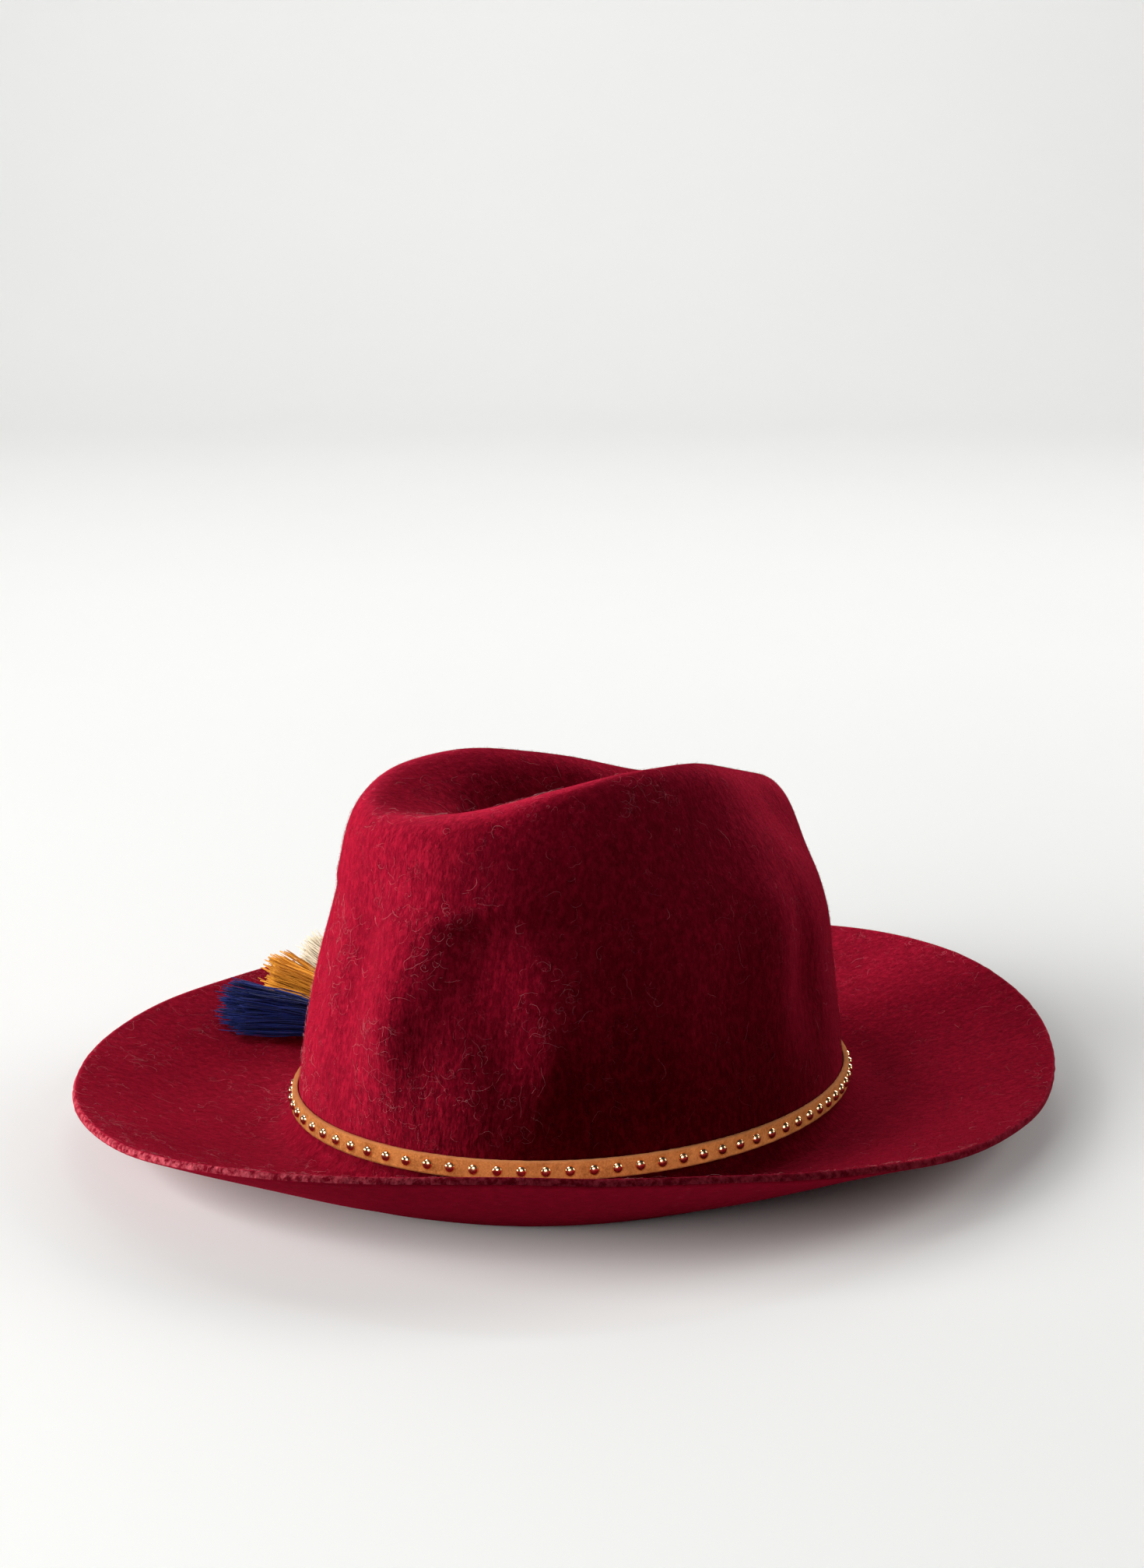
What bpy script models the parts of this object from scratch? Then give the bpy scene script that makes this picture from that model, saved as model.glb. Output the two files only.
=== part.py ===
"""A wide-brimmed wool felt hat with a teardrop crown, a studded strap round it and three tassels.

The hat lies on its brim, as it would on a table. Its front points along +X and its left side along +Y.
The origin is on the table, under the middle of the brim. All lengths are in metres.
"""

import math

import bmesh
import bpy
import numpy as np
from mathutils import Vector

# Felt body
FELT = 0.0026              # thickness of the wool felt
HEAD_LENGTH = 0.2070       # outside of the crown at the strap, front to back
HEAD_WIDTH = 0.1720        # outside of the crown at the strap, side to side
HEAD_EGG = -0.0675         # how much narrower the head oval is towards the front
CROWN_HEIGHT = 0.1065      # strap line to the mean height of the crest
BRIM_FRONT = 0.0765        # brim, crown to edge, at the front and the back
BRIM_SIDE = 0.0735         # brim, crown to edge, at the sides
EDGE_HEIGHT = 0.0242       # mean height of the upturned edge over the table
CROWN_BACK = 0.0013        # the crown stands this far back of the brim's middle
STRAP_LINE = 0.0112        # mean height of the strap's middle over the table
LINE_NOD = 0.0019          # the strap line dips this much to the front
LINE_LEAN = 0.0013         # and this much to the left
TURN_RADIUS = 0.0030       # bend between the crown's foot and the brim
FOLD_DEPTH = 0.0052        # depth of the deepest dent in the crown's wall
COLUMNS = 56               # facets round the hat

# Studded strap
STRAP_HEIGHT = 0.0065
STRAP_THICKNESS = 0.0017
STRAP_LEAN = 0.0035        # share of the head oval that the wall draws in from the strap's middle to its top
STUD_COUNT = 78
STUD_DIAMETER = 0.0037
STUD_RISE = 0.0014
STUD_SIDES = 10
CLEARANCE = 0.0004         # gap between pieces that touch

# Tassels
TASSEL_LENGTH = 0.0690     # knot to the tips
TASSEL_SPREAD = 0.0078     # half of the distance between the outermost locks' middles, at the tips
HEAD_RADIUS = 0.0048
HEAD_STRETCH = 1.2
CORD_LENGTH = 0.0205       # knot to the middle of a tassel's head
CORD_RADIUS = 0.0010
LOCK_WIDTH = 0.0044        # half width of one lock of threads
LOCK_HEIGHT = 0.0048       # half height of one lock of threads
LOCK_SIDES = 6
KNOT_RADIUS = 0.0036
KNOT_HEADING = 88.0        # degrees round the hat; the knot is in front of the nearest stud
FAN_HEADING = 123.0        # degrees; where the middle tassel points from the knot

# Crown sections, from the middle of its top down to the strap. The columns are shares:
# half length and half width of the head oval's, egg, forward shift of the half length, height of
# CROWN_HEIGHT, and the waves of that height round the hat: nod (front up), lean (left up), saddle
# (front and back up, sides down) and twist (the same turned by an eighth). The last is the facet rows.
CROWN_SECTIONS = (
    # name, length, width, egg, forward, height, nod, lean, saddle, twist, rows
    ("floor", 0.305, 0.172, -0.300, -0.080, 0.780, -0.020, 0.000, -0.020, 0.000, 2),
    ("bowl", 0.490, 0.365, -0.300, -0.045, 0.944, -0.105, 0.010, -0.080, 0.042, 3),
    ("crest", 0.676, 0.584, -0.280, -0.077, 1.023, -0.043, -0.052, -0.074, 0.000, 3),
    ("shoulder", 0.842, 0.760, -0.235, 0.002, 0.832, 0.054, -0.047, -0.028, -0.003, 2),
    ("upper", 0.878, 0.860, -0.060, 0.020, 0.713, -0.008, 0.000, -0.034, 0.012, 3),
    ("middle", 0.952, 0.941, -0.066, 0.005, 0.372, 0.000, 0.000, 0.000, 0.000, 2),
)

# Brim sections, from the bend to the cut edge. across is a share of the brim's width, rise a share
# of the way from the table up to the edge, and the last is the facet rows that follow.
BRIM_SECTIONS = (
    # name, across, rise, rows
    ("sole_inner", 0.10, 0.00, 1),
    ("sole_outer", 0.16, 0.00, 2),
    ("lift", 0.35, 0.17, 2),
    ("slope", 0.56, 0.41, 2),
    ("curl", 0.79, 0.71, 2),
    ("edge", 1.00, 1.00, 1),
)

# The edge rises and falls round the hat: waves round it, and shares of EDGE_HEIGHT towards the
# front (along) and towards the left (across).
EDGE_WAVES = (
    # waves, along, across
    (1, -0.20, -0.23),
    (2, 0.08, 0.22),
    (3, 0.15, -0.07),
)

# Dents (depth over 0) and ridges (under 0) of the crown's wall: heading round the hat in degrees,
# place down the crown in sections from its middle, the spreads of both, and the share of FOLD_DEPTH.
FOLDS = (
    # name, heading, place, spread, reach, depth
    ("pinch_right", 313.0, 3.2, 15.0, 0.9, 1.00),
    ("pinch_left", 47.0, 3.2, 15.0, 0.9, 0.85),
    ("back_dent", 156.0, 4.6, 11.0, 0.9, 0.42),
    ("back_groove", 177.0, 4.6, 7.0, 1.2, 0.60),
    ("back_ridge_top", 198.0, 3.7, 9.0, 0.9, -0.60),
    ("back_ridge_foot", 191.0, 5.0, 7.0, 0.8, -0.75),
    ("side_hollow", 211.0, 4.4, 9.0, 0.9, 0.50),
    ("side_groove_back", 202.0, 5.4, 6.0, 0.5, 0.30),
    ("side_groove", 218.0, 5.3, 6.0, 0.6, 0.28),
    ("side_ridge", 230.0, 5.2, 6.0, 0.7, -0.42),
    ("side_valley", 242.0, 5.0, 6.0, 0.9, 0.62),
    ("side_lobe", 254.0, 5.3, 7.0, 0.6, -0.36),
    ("front_hollow", 268.0, 4.8, 7.0, 0.9, 0.26),
    ("front_ridge", 281.0, 4.7, 6.0, 1.0, -0.32),
    ("front_crease", 295.0, 4.7, 6.0, 0.9, 0.50),
    ("left_hollow", 100.0, 4.9, 14.0, 0.8, 0.25),
)

# Tassels: turn of each from the middle one, in steps of the fan, share of TASSEL_LENGTH, and colour.
TASSELS = (
    # name, turn, length, colour
    ("tassel_navy", 1, 1.00, (0.010, 0.016, 0.075)),
    ("tassel_mustard", 0, 0.82, (0.420, 0.190, 0.030)),
    ("tassel_cream", -1, 0.84, (0.720, 0.620, 0.430)),
)

# Locks of a tassel: place across as a share of TASSEL_SPREAD, layer over the brim, share of the length.
LOCKS = (
    # across, layer, length
    (-1.00, 0, 0.95),
    (-0.36, 0, 1.00),
    (0.36, 0, 0.98),
    (1.00, 0, 0.93),
    (-0.66, 1, 0.92),
    (0.00, 1, 0.97),
    (0.66, 1, 0.90),
)

# Shape of one lock: place along it, and the shares of its full width and height there.
LOCK_SECTIONS = (
    # along, girth
    (0.00, 0.50),
    (0.22, 0.80),
    (0.50, 1.00),
    (0.88, 0.95),
    (1.00, 0.50),
)


def clear_scene():
    for thing in list(bpy.data.objects):
        bpy.data.objects.remove(thing)


def new_collection(name, hidden=False):
    group = bpy.data.collections.new(name)
    group.hide_render = hidden
    bpy.context.scene.collection.children.link(group)
    return group


def material(name, colour, roughness, metallic=0.0):
    finish = bpy.data.materials.new(name)
    finish.use_nodes = True
    shader = finish.node_tree.nodes["Principled BSDF"]
    shader.inputs["Base Color"].default_value = (*colour, 1.0)
    shader.inputs["Roughness"].default_value = roughness
    shader.inputs["Metallic"].default_value = metallic
    finish.diffuse_color = (*colour, 1.0)
    return finish


def add_object(name, mesh, group, finish=None):
    thing = bpy.data.objects.new(name, mesh)
    group.objects.link(thing)
    if finish:
        mesh.materials.append(finish)
    return thing


def cutter(thing):
    thing.hide_render = True
    thing.display_type = "WIRE"
    return thing


def baked(thing):
    """The object's mesh with its modifiers applied."""
    bpy.context.view_layer.update()
    graph = bpy.context.evaluated_depsgraph_get()
    return bpy.data.meshes.new_from_object(thing.evaluated_get(graph), depsgraph=graph)


def angles(count):
    return np.arange(count) * 2.0 * math.pi / count


def oval(turn, length, width, egg, forward):
    """Plan of one ring: an ellipse whose sides draw in towards the front, moved along X."""
    x = HEAD_LENGTH / 2 * (forward + length * np.cos(turn)) - CROWN_BACK
    y = HEAD_WIDTH / 2 * width * np.sin(turn) * (1 + egg * np.cos(turn))
    return x, y


def crown_ring(turn, length, width, egg, forward, height, nod, lean, saddle, twist):
    """One ring of the crown: its oval, at a height that rises and falls in four waves round it."""
    x, y = oval(turn, length, width, egg, forward)
    waves = (
        height
        + nod * np.cos(turn)
        + lean * np.sin(turn)
        + saddle * np.cos(2 * turn)
        + twist * np.sin(2 * turn)
    )
    tilt = LINE_NOD * np.cos(turn) + LINE_LEAN * np.sin(turn)
    z = STRAP_LINE + CROWN_HEIGHT * waves - tilt * (1 - min(max(height, 0.0), 1.0))
    return np.stack([x, y, z], -1)


def strap_rings(turn):
    """Rings of the crown's wall at the strap's upper and lower edges."""
    half = STRAP_HEIGHT / 2 / CROWN_HEIGHT
    top = crown_ring(turn, 1 - STRAP_LEAN, 1 - STRAP_LEAN, HEAD_EGG, 0.0, half, 0.0, 0.0, 0.0, 0.0)
    foot = crown_ring(turn, 1 + STRAP_LEAN, 1 + STRAP_LEAN, HEAD_EGG, 0.0, -half, 0.0, 0.0, 0.0, 0.0)
    return top, foot


def edge_top(turn):
    """Height of the brim's upper skin at its cut edge."""
    share = 1.0
    for waves, along, across in EDGE_WAVES:
        share = share + along * np.cos(waves * turn) + across * np.sin(waves * turn)
    return EDGE_HEIGHT * share


def brim_ring(turn, across, rise):
    """One ring of the brim, between the crown's foot and the cut edge."""
    foot_x, foot_y = oval(turn, 1.0, 1.0, HEAD_EGG, 0.0)
    edge_x = (HEAD_LENGTH / 2 + BRIM_FRONT) * np.cos(turn)
    edge_y = (HEAD_WIDTH / 2 + BRIM_SIDE) * np.sin(turn) * (1 + HEAD_EGG * np.cos(turn))
    x = foot_x + (edge_x - foot_x) * across
    y = foot_y + (edge_y - foot_y) * across
    z = FELT + (edge_top(turn) - FELT) * rise
    return np.stack([x, y, z], -1)


def turn_ring(turn):
    """The bend between the crown's foot and the brim, a radius out and halfway down."""
    _, foot = strap_rings(turn)
    sole = brim_ring(turn, BRIM_SECTIONS[0][1], 0.0)
    way = sole[:, :2] - foot[:, :2]
    out = way / np.linalg.norm(way, axis=1, keepdims=True)
    plan = foot[:, :2] + out * TURN_RADIUS
    height = foot[:, 2] * 0.42 + sole[:, 2] * 0.58
    return np.column_stack([plan, height])


def smooth_rows(sections, rows):
    """Cubic curves from section to section, down every column. sections is (section, column, xyz)."""
    gaps = np.linalg.norm(np.diff(sections, axis=0), axis=-1).mean(1)[:, None, None]
    slopes = np.diff(sections, axis=0) / gaps
    tangents = np.empty_like(sections)
    tangents[0], tangents[-1] = slopes[0], slopes[-1]
    tangents[1:-1] = (slopes[:-1] * gaps[1:] + slopes[1:] * gaps[:-1]) / (gaps[1:] + gaps[:-1])
    places, points = [], []
    for i, count in enumerate(rows[: len(sections) - 1]):
        for step in range(count):
            u = step / count
            start, end = sections[i], sections[i + 1]
            points.append(
                (2 * u**3 - 3 * u**2 + 1) * start
                + (u**3 - 2 * u**2 + u) * gaps[i] * tangents[i]
                + (3 * u**2 - 2 * u**3) * end
                + (u**3 - u**2) * gaps[i] * tangents[i + 1]
            )
            places.append(i + u)
    points.append(sections[-1])
    places.append(len(sections) - 1.0)
    return np.array(points), np.array(places)


def fold_push(turn, places):
    """How far each point of the crown is pushed in by the dents, and out by the ridges."""
    push = np.zeros((len(places), len(turn)))
    for _, heading, place, spread, reach, depth in FOLDS:
        off = np.degrees(np.angle(np.exp(1j * (turn - math.radians(heading)))))
        round_share = np.exp(-((off / spread) ** 2))
        down_share = np.exp(-(((places - place) / reach) ** 2))
        push += FOLD_DEPTH * depth * down_share[:, None] * round_share[None, :]
    return push


def felt_skin(columns):
    """Upper and outer skin of the felt, as (row, column, xyz), from the crown's floor to the edge."""
    turn = angles(columns)
    rings = [crown_ring(turn, *row[1:10]) for row in CROWN_SECTIONS]
    rings += [*strap_rings(turn), turn_ring(turn)]
    rings += [brim_ring(turn, across, rise) for _, across, rise, _ in BRIM_SECTIONS]
    rows = [row[10] for row in CROWN_SECTIONS] + [1, 1, 1] + [row[3] for row in BRIM_SECTIONS]
    skin, places = smooth_rows(np.array(rings), rows)
    last_wall = float(len(CROWN_SECTIONS))
    inward = -np.stack([np.cos(turn), np.sin(turn)], -1)
    fade = np.clip(last_wall - places, 0.0, 1.0) * np.clip(places - 1.0, 0.0, 1.0)
    push = fold_push(turn, places) * fade[:, None]
    skin[:, :, :2] += push[:, :, None] * inward[None]
    skin[:, :, 2] = np.maximum(skin[:, :, 2], FELT)
    return skin


def grid_mesh(name, skin):
    """Open sheet of quads through rings of points, closed at its first ring by a fan."""
    form = bmesh.new()
    rings = [[form.verts.new(point) for point in ring] for ring in skin]
    middle = form.verts.new(skin[0].mean(0))
    count = len(rings[0])
    for i in range(count):
        form.faces.new((middle, rings[0][i], rings[0][(i + 1) % count]))
    for upper, lower in zip(rings, rings[1:]):
        for i in range(count):
            j = (i + 1) % count
            form.faces.new((upper[i], lower[i], lower[j], upper[j]))
    bmesh.ops.recalc_face_normals(form, faces=form.faces)
    if sum(face.normal.z * face.calc_area() for face in form.faces) < 0:
        bmesh.ops.reverse_faces(form, faces=form.faces)
    mesh = bpy.data.meshes.new(name)
    form.to_mesh(mesh)
    form.free()
    return mesh


def loft_mesh(form, rings):
    """Adds a closed body through rings of points to form, with a flat face at either end."""
    loops = [[form.verts.new(point) for point in ring] for ring in rings]
    count = len(loops[0])
    faces = [form.faces.new(loops[0]), form.faces.new(loops[-1])]
    for first, second in zip(loops, loops[1:]):
        for i in range(count):
            j = (i + 1) % count
            faces.append(form.faces.new((first[i], second[i], second[j], first[j])))
    bmesh.ops.recalc_face_normals(form, faces=faces)


def make_felt_body(group):
    """Crown and brim: one sheet of blocked felt with a wall, pressed flat where it rests."""
    sheet = add_object("felt_sheet", grid_mesh("felt_sheet", felt_skin(COLUMNS)), group)
    wall = sheet.modifiers.new("wall", "SOLIDIFY")
    wall.thickness = FELT
    wall.offset = -1.0
    mesh = baked(sheet)
    bpy.data.objects.remove(sheet)
    flat_below = FELT / 4
    for vertex in mesh.vertices:
        if vertex.co.z < flat_below:
            vertex.co.z = 0.0
    mesh.shade_smooth()
    mesh.set_sharp_from_angle(angle=math.radians(50))
    mesh.name = "felt_body"
    return add_object("felt_body", mesh, group, material("wool_felt", (0.200, 0.006, 0.018), 0.95))


def strap_section(turn):
    """Inner top, inner foot, outer foot and outer top of the strap at each turn round the crown."""
    top, foot = strap_rings(turn)
    along = np.roll(top, -1, 0) - np.roll(top, 1, 0)
    out = np.cross(along, top - foot)
    out /= np.linalg.norm(out, axis=1, keepdims=True)
    near = out * CLEARANCE
    far = out * (CLEARANCE + STRAP_THICKNESS)
    return np.array([top + near, foot + near, foot + far, top + far])


def even_turns(count):
    """Turns that put count points at equal distances round the strap."""
    fine = angles(2000)
    line, _ = strap_rings(fine)
    steps = np.linalg.norm(np.roll(line, -1, 0) - line, axis=1)
    travelled = np.concatenate([[0.0], np.cumsum(steps)])
    wanted = travelled[-1] * np.arange(count) / count
    return np.interp(wanted, travelled, np.append(fine, 2 * math.pi))


def half_step_turns(count):
    """The turns halfway between those of even_turns, where the strap's facets meet."""
    turns = even_turns(count)
    return (turns + np.append(turns[1:], 2 * math.pi)) / 2


def stud_seats():
    """Middle of the strap's outer face and its direction out, at each stud."""
    corners = strap_section(half_step_turns(STUD_COUNT))
    face = (corners[2] + corners[3]) / 2
    seats = (face + np.roll(face, 1, 0)) / 2
    rise = corners[3] - corners[2]
    rise = rise + np.roll(rise, 1, 0)
    out = np.cross(face - np.roll(face, 1, 0), rise)
    return seats, out / np.linalg.norm(out, axis=1, keepdims=True)


def make_studded_band(group, cutters):
    """A loop of flat strap with a dome fused to it at the middle of each facet."""
    corners = strap_section(half_step_turns(STUD_COUNT))
    form = bmesh.new()
    rings = [[form.verts.new(point) for point in ring] for ring in corners]
    for ring, following in zip(rings, rings[1:] + rings[:1]):
        for i in range(STUD_COUNT):
            j = (i + 1) % STUD_COUNT
            form.faces.new((ring[i], following[i], following[j], ring[j]))
    bmesh.ops.recalc_face_normals(form, faces=form.faces)
    mesh = bpy.data.meshes.new("studded_band")
    form.to_mesh(mesh)
    form.free()
    band = add_object("studded_band", mesh, group, material("suede", (0.330, 0.140, 0.045), 0.85))

    domes = bmesh.new()
    for seat, out in zip(*stud_seats()):
        made = bmesh.ops.create_uvsphere(domes, u_segments=STUD_SIDES, v_segments=4, radius=1.0)
        turned = Vector(out).to_track_quat("Z", "Y").to_matrix()
        for vertex in made["verts"]:
            local = Vector((
                vertex.co.x * STUD_DIAMETER / 2,
                vertex.co.y * STUD_DIAMETER / 2,
                vertex.co.z * STUD_RISE,
            ))
            vertex.co = turned @ local + Vector(seat)
    dome_mesh = bpy.data.meshes.new("stud_domes")
    domes.to_mesh(dome_mesh)
    domes.free()
    dome_set = cutter(add_object("stud_domes", dome_mesh, cutters))
    fuse = band.modifiers.new("studs", "BOOLEAN")
    fuse.operation = "UNION"
    fuse.object = dome_set
    fuse.solver = "EXACT"


def brim_height(skin, plan):
    """Height of the brim's upper skin at each point of plan, from the nearest points of the skin."""
    first_row = sum(row[10] for row in CROWN_SECTIONS) + 2
    points = skin[first_row:].reshape(-1, 3)
    away = np.linalg.norm(plan[:, None, :] - points[None, :, :2], axis=-1)
    near = np.argsort(away, axis=1)[:, :6]
    weight = 1 / (np.take_along_axis(away, near, 1) + 1e-4) ** 2
    return (points[near, 2] * weight).sum(1) / weight.sum(1)


def knot_place():
    """Middle of the knot, just in front of the stud nearest to its heading."""
    seats, out = stud_seats()
    heading = math.radians(KNOT_HEADING)
    stud = (seats[:, :2] @ np.array([math.cos(heading), math.sin(heading)])).argmax()
    return seats[stud] + out[stud] * (STUD_RISE + CLEARANCE + KNOT_RADIUS)


def skirt_spread(along):
    """Half of the distance between the outermost locks' middles, at a place along the skirt."""
    return TASSEL_SPREAD * (0.16 + 0.84 * along)


def fan_step():
    """Turn from one tassel to the next that keeps their heads and skirts clear of each other."""
    shortest = min(length for _, _, length, _ in TASSELS) * TASSEL_LENGTH
    shares = [(HEAD_RADIUS + CLEARANCE) / CORD_LENGTH]
    for along, girth in LOCK_SECTIONS:
        reach = CORD_LENGTH + (shortest - CORD_LENGTH) * along
        shares.append((skirt_spread(along) + LOCK_WIDTH * girth + CLEARANCE) / reach)
    return 2 * math.asin(min(max(shares), 1.0))


def ellipse_ring(middle, side, up, half_width, half_height, count):
    turn = angles(count)[:, None]
    return middle + side * half_width * np.cos(turn) + up * half_height * np.sin(turn)


def lock_rings(skin, knot, way, side, length, across, layer, share):
    """Rings of one lock: out of the head, spreading, and lying over the brim or the layer below."""
    up = np.array([0.0, 0.0, 1.0])
    skirt = (length - CORD_LENGTH) * share
    rings = []
    for along, girth in LOCK_SECTIONS:
        plan = knot + way * (CORD_LENGTH + skirt * along) + side * across * skirt_spread(along)
        half_height = LOCK_HEIGHT * girth
        edges = np.array([plan[:2] + side[:2] * LOCK_WIDTH * girth * k for k in (-1.0, 0.0, 1.0)])
        ground = brim_height(skin, edges).max()
        lift = 2 * CLEARANCE + half_height + layer * 1.5 * LOCK_HEIGHT * (0.3 + 0.7 * along)
        head = head_height(skin, knot, way) + (layer - 0.5) * LOCK_HEIGHT * 0.5
        blend = min(along / 0.35, 1.0)
        middle = np.array([plan[0], plan[1], head * (1 - blend) + (ground + lift) * blend])
        rings.append(ellipse_ring(middle, side, up, LOCK_WIDTH * girth, half_height, LOCK_SIDES))
    return rings


def head_height(skin, knot, way):
    """Height of the middle of a tassel's head, which lies on the brim."""
    plan = knot + way * CORD_LENGTH
    return brim_height(skin, plan[None, :2])[0] + HEAD_RADIUS + 2 * CLEARANCE


def make_tassel(name, turn, length_share, colour, skin, group, cutters):
    """A wound head on a short cord, with locks of thread fused to it."""
    knot = knot_place()
    turned = math.radians(FAN_HEADING) + turn * fan_step()
    way = np.array([math.cos(turned), math.sin(turned), 0.0])
    side = np.array([-way[1], way[0], 0.0])
    head_at = knot + way * CORD_LENGTH
    head_at[2] = head_height(skin, knot, way)

    form = bmesh.new()
    bmesh.ops.create_uvsphere(form, u_segments=10, v_segments=6, radius=HEAD_RADIUS)
    turn_to_way = Vector(way).to_track_quat("X", "Z").to_matrix()
    for vertex in form.verts:
        vertex.co.x *= HEAD_STRETCH
        vertex.co = turn_to_way @ vertex.co + Vector(head_at)
    mesh = bpy.data.meshes.new(name)
    form.to_mesh(mesh)
    form.free()
    tassel = add_object(name, mesh, group, material(name + "_thread", colour, 0.9))

    threads = new_collection(name + "_locks", hidden=True)
    cutters.children.link(threads)
    bpy.context.scene.collection.children.unlink(threads)
    length = TASSEL_LENGTH * length_share
    for i, (across, layer, share) in enumerate(LOCKS):
        form = bmesh.new()
        loft_mesh(form, lock_rings(skin, knot, way, side, length, across, layer, share))
        lock_mesh = bpy.data.meshes.new(f"{name}_lock_{i}")
        form.to_mesh(lock_mesh)
        form.free()
        cutter(add_object(f"{name}_lock_{i}", lock_mesh, threads))

    path = head_at - knot
    path /= np.linalg.norm(path)
    across_path = np.cross(path, side)
    start = knot + path * (KNOT_RADIUS + CLEARANCE)
    form = bmesh.new()
    loft_mesh(form, [
        ellipse_ring(point, side, across_path, CORD_RADIUS, CORD_RADIUS, 6) for point in (start, head_at)
    ])
    cord_mesh = bpy.data.meshes.new(name + "_cord")
    form.to_mesh(cord_mesh)
    form.free()
    cutter(add_object(name + "_cord", cord_mesh, threads))

    fuse = tassel.modifiers.new("locks", "BOOLEAN")
    fuse.operation = "UNION"
    fuse.operand_type = "COLLECTION"
    fuse.collection = threads
    fuse.solver = "EXACT"


def make_tassel_knot(group):
    """The plain knot that holds the three tassels' cords at the strap."""
    form = bmesh.new()
    bmesh.ops.create_icosphere(form, subdivisions=2, radius=KNOT_RADIUS)
    bmesh.ops.translate(form, verts=form.verts, vec=Vector(knot_place()))
    mesh = bpy.data.meshes.new("tassel_knot")
    form.to_mesh(mesh)
    form.free()
    mesh.shade_smooth()
    add_object("tassel_knot", mesh, group, material("knot_thread", (0.010, 0.016, 0.075), 0.9))


def main():
    clear_scene()
    hat = new_collection("felt_hat")
    cutters = new_collection("cutters", hidden=True)
    skin = felt_skin(COLUMNS)
    make_felt_body(hat)
    make_studded_band(hat, cutters)
    make_tassel_knot(hat)
    for name, turn, length_share, colour in TASSELS:
        make_tassel(name, turn, length_share, colour, skin, hat, cutters)


main()
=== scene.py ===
"""A burgundy wool felt hat with a studded suede strap and three thread tassels.

The hat lies on its brim on the table, z = 0. Its front points along +X and its left side along +Y.
All lengths are in metres, and angles round the hat run from its front over its left side.
"""

import math

import bpy
import numpy as np
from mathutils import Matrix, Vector


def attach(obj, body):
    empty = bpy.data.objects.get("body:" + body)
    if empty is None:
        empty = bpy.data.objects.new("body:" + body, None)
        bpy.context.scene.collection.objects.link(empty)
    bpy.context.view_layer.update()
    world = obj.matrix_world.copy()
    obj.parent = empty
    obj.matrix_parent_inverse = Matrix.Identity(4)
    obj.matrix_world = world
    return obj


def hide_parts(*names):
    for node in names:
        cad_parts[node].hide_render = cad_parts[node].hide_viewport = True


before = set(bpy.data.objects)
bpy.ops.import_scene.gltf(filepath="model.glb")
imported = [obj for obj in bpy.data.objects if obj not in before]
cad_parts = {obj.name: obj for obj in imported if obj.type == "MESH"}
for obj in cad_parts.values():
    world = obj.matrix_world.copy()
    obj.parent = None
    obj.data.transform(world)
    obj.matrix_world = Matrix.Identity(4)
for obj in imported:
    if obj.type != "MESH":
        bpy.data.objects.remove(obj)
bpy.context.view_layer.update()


# Camera
# A long lens a little over a metre away, behind the hat's right side and a hand's breadth over the crown.
# It looks slightly down at the hat, which stands a touch to the right of the middle of the picture.
CAMERA_PLACE = (-0.6024, -0.7108, 0.3410)
CAMERA_WAY = (0.62792, 0.74253, -0.23316)
camera_data = bpy.data.cameras.new("camera")
camera_data.sensor_fit = "VERTICAL"
camera_data.sensor_height = 36.0
camera_data.sensor_width = 36.0
camera_data.lens = 63.57
camera_data.shift_x = -0.0052
camera_data.clip_start = 0.01
camera_data.clip_end = 60.0


def stand(name, data, place=(0.0, 0.0, 0.0), way=None):
    """A new object in the scene, at its place and looking its way."""
    made = bpy.data.objects.new(name, data)
    made.location = place
    if way is not None:
        made.rotation_mode = "QUATERNION"
        made.rotation_quaternion = Vector(way).to_track_quat("-Z", "Y")
    bpy.context.scene.collection.objects.link(made)
    return made


bpy.context.scene.camera = stand("camera", camera_data, CAMERA_PLACE, CAMERA_WAY)
bpy.context.scene.view_settings.view_transform = "Standard"


# Felt body
# Crown and brim are one sheet of wool felt, 2.6 mm thick, steamed over a block and pinched by hand.
# The crown has a teardrop dent, two side pinches and soft creases; the brim's edge is cut and turns up.
FELT = 0.0026
HEAD_LENGTH = 0.2070
HEAD_WIDTH = 0.1720
HEAD_EGG = -0.0675
CROWN_HEIGHT = 0.1065
BRIM_FRONT = 0.0765
BRIM_SIDE = 0.0735
EDGE_HEIGHT = 0.0242
CROWN_BACK = 0.0013
STRAP_LINE = 0.0112
LINE_NOD = 0.0019
LINE_LEAN = 0.0013
TURN_RADIUS = 0.0030
TURN_ABOVE = 0.42
TURN_BELOW = 0.58
FOLD_DEPTH = 0.0052
CROWN_SWELL = 0.0009
CROWN_SWELL_LENGTH = 0.034
BRIM_SWELL = 0.0010
BRIM_SWELL_LENGTH = 0.060
EDGE_BULGE = 0.00042
STRAP_HEIGHT = 0.0065
STRAP_LEAN = 0.0035
FELT_COLUMNS = 320
CROWN_FINE = 8
BRIM_FINE = 8
INNER_STEP = 3

# Rings of the crown as shares of the head oval, from the middle of its top down to the strap.
CROWN_SECTIONS = (
    # length, width, egg, forward, height, nod, lean, saddle, twist, rows
    (0.305, 0.172, -0.300, -0.080, 0.780, -0.020, 0.000, -0.020, 0.000, 2),
    (0.490, 0.365, -0.300, -0.045, 0.944, -0.105, 0.010, -0.080, 0.042, 3),
    (0.676, 0.584, -0.280, -0.077, 1.023, -0.043, -0.052, -0.074, 0.000, 3),
    (0.842, 0.760, -0.235, 0.002, 0.832, 0.054, -0.047, -0.028, -0.003, 2),
    (0.878, 0.860, -0.060, 0.020, 0.713, -0.008, 0.000, -0.034, 0.012, 3),
    (0.952, 0.941, -0.066, 0.005, 0.372, 0.000, 0.000, 0.000, 0.000, 2),
)
STRAP_ROWS = (5, 5, 4)

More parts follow.
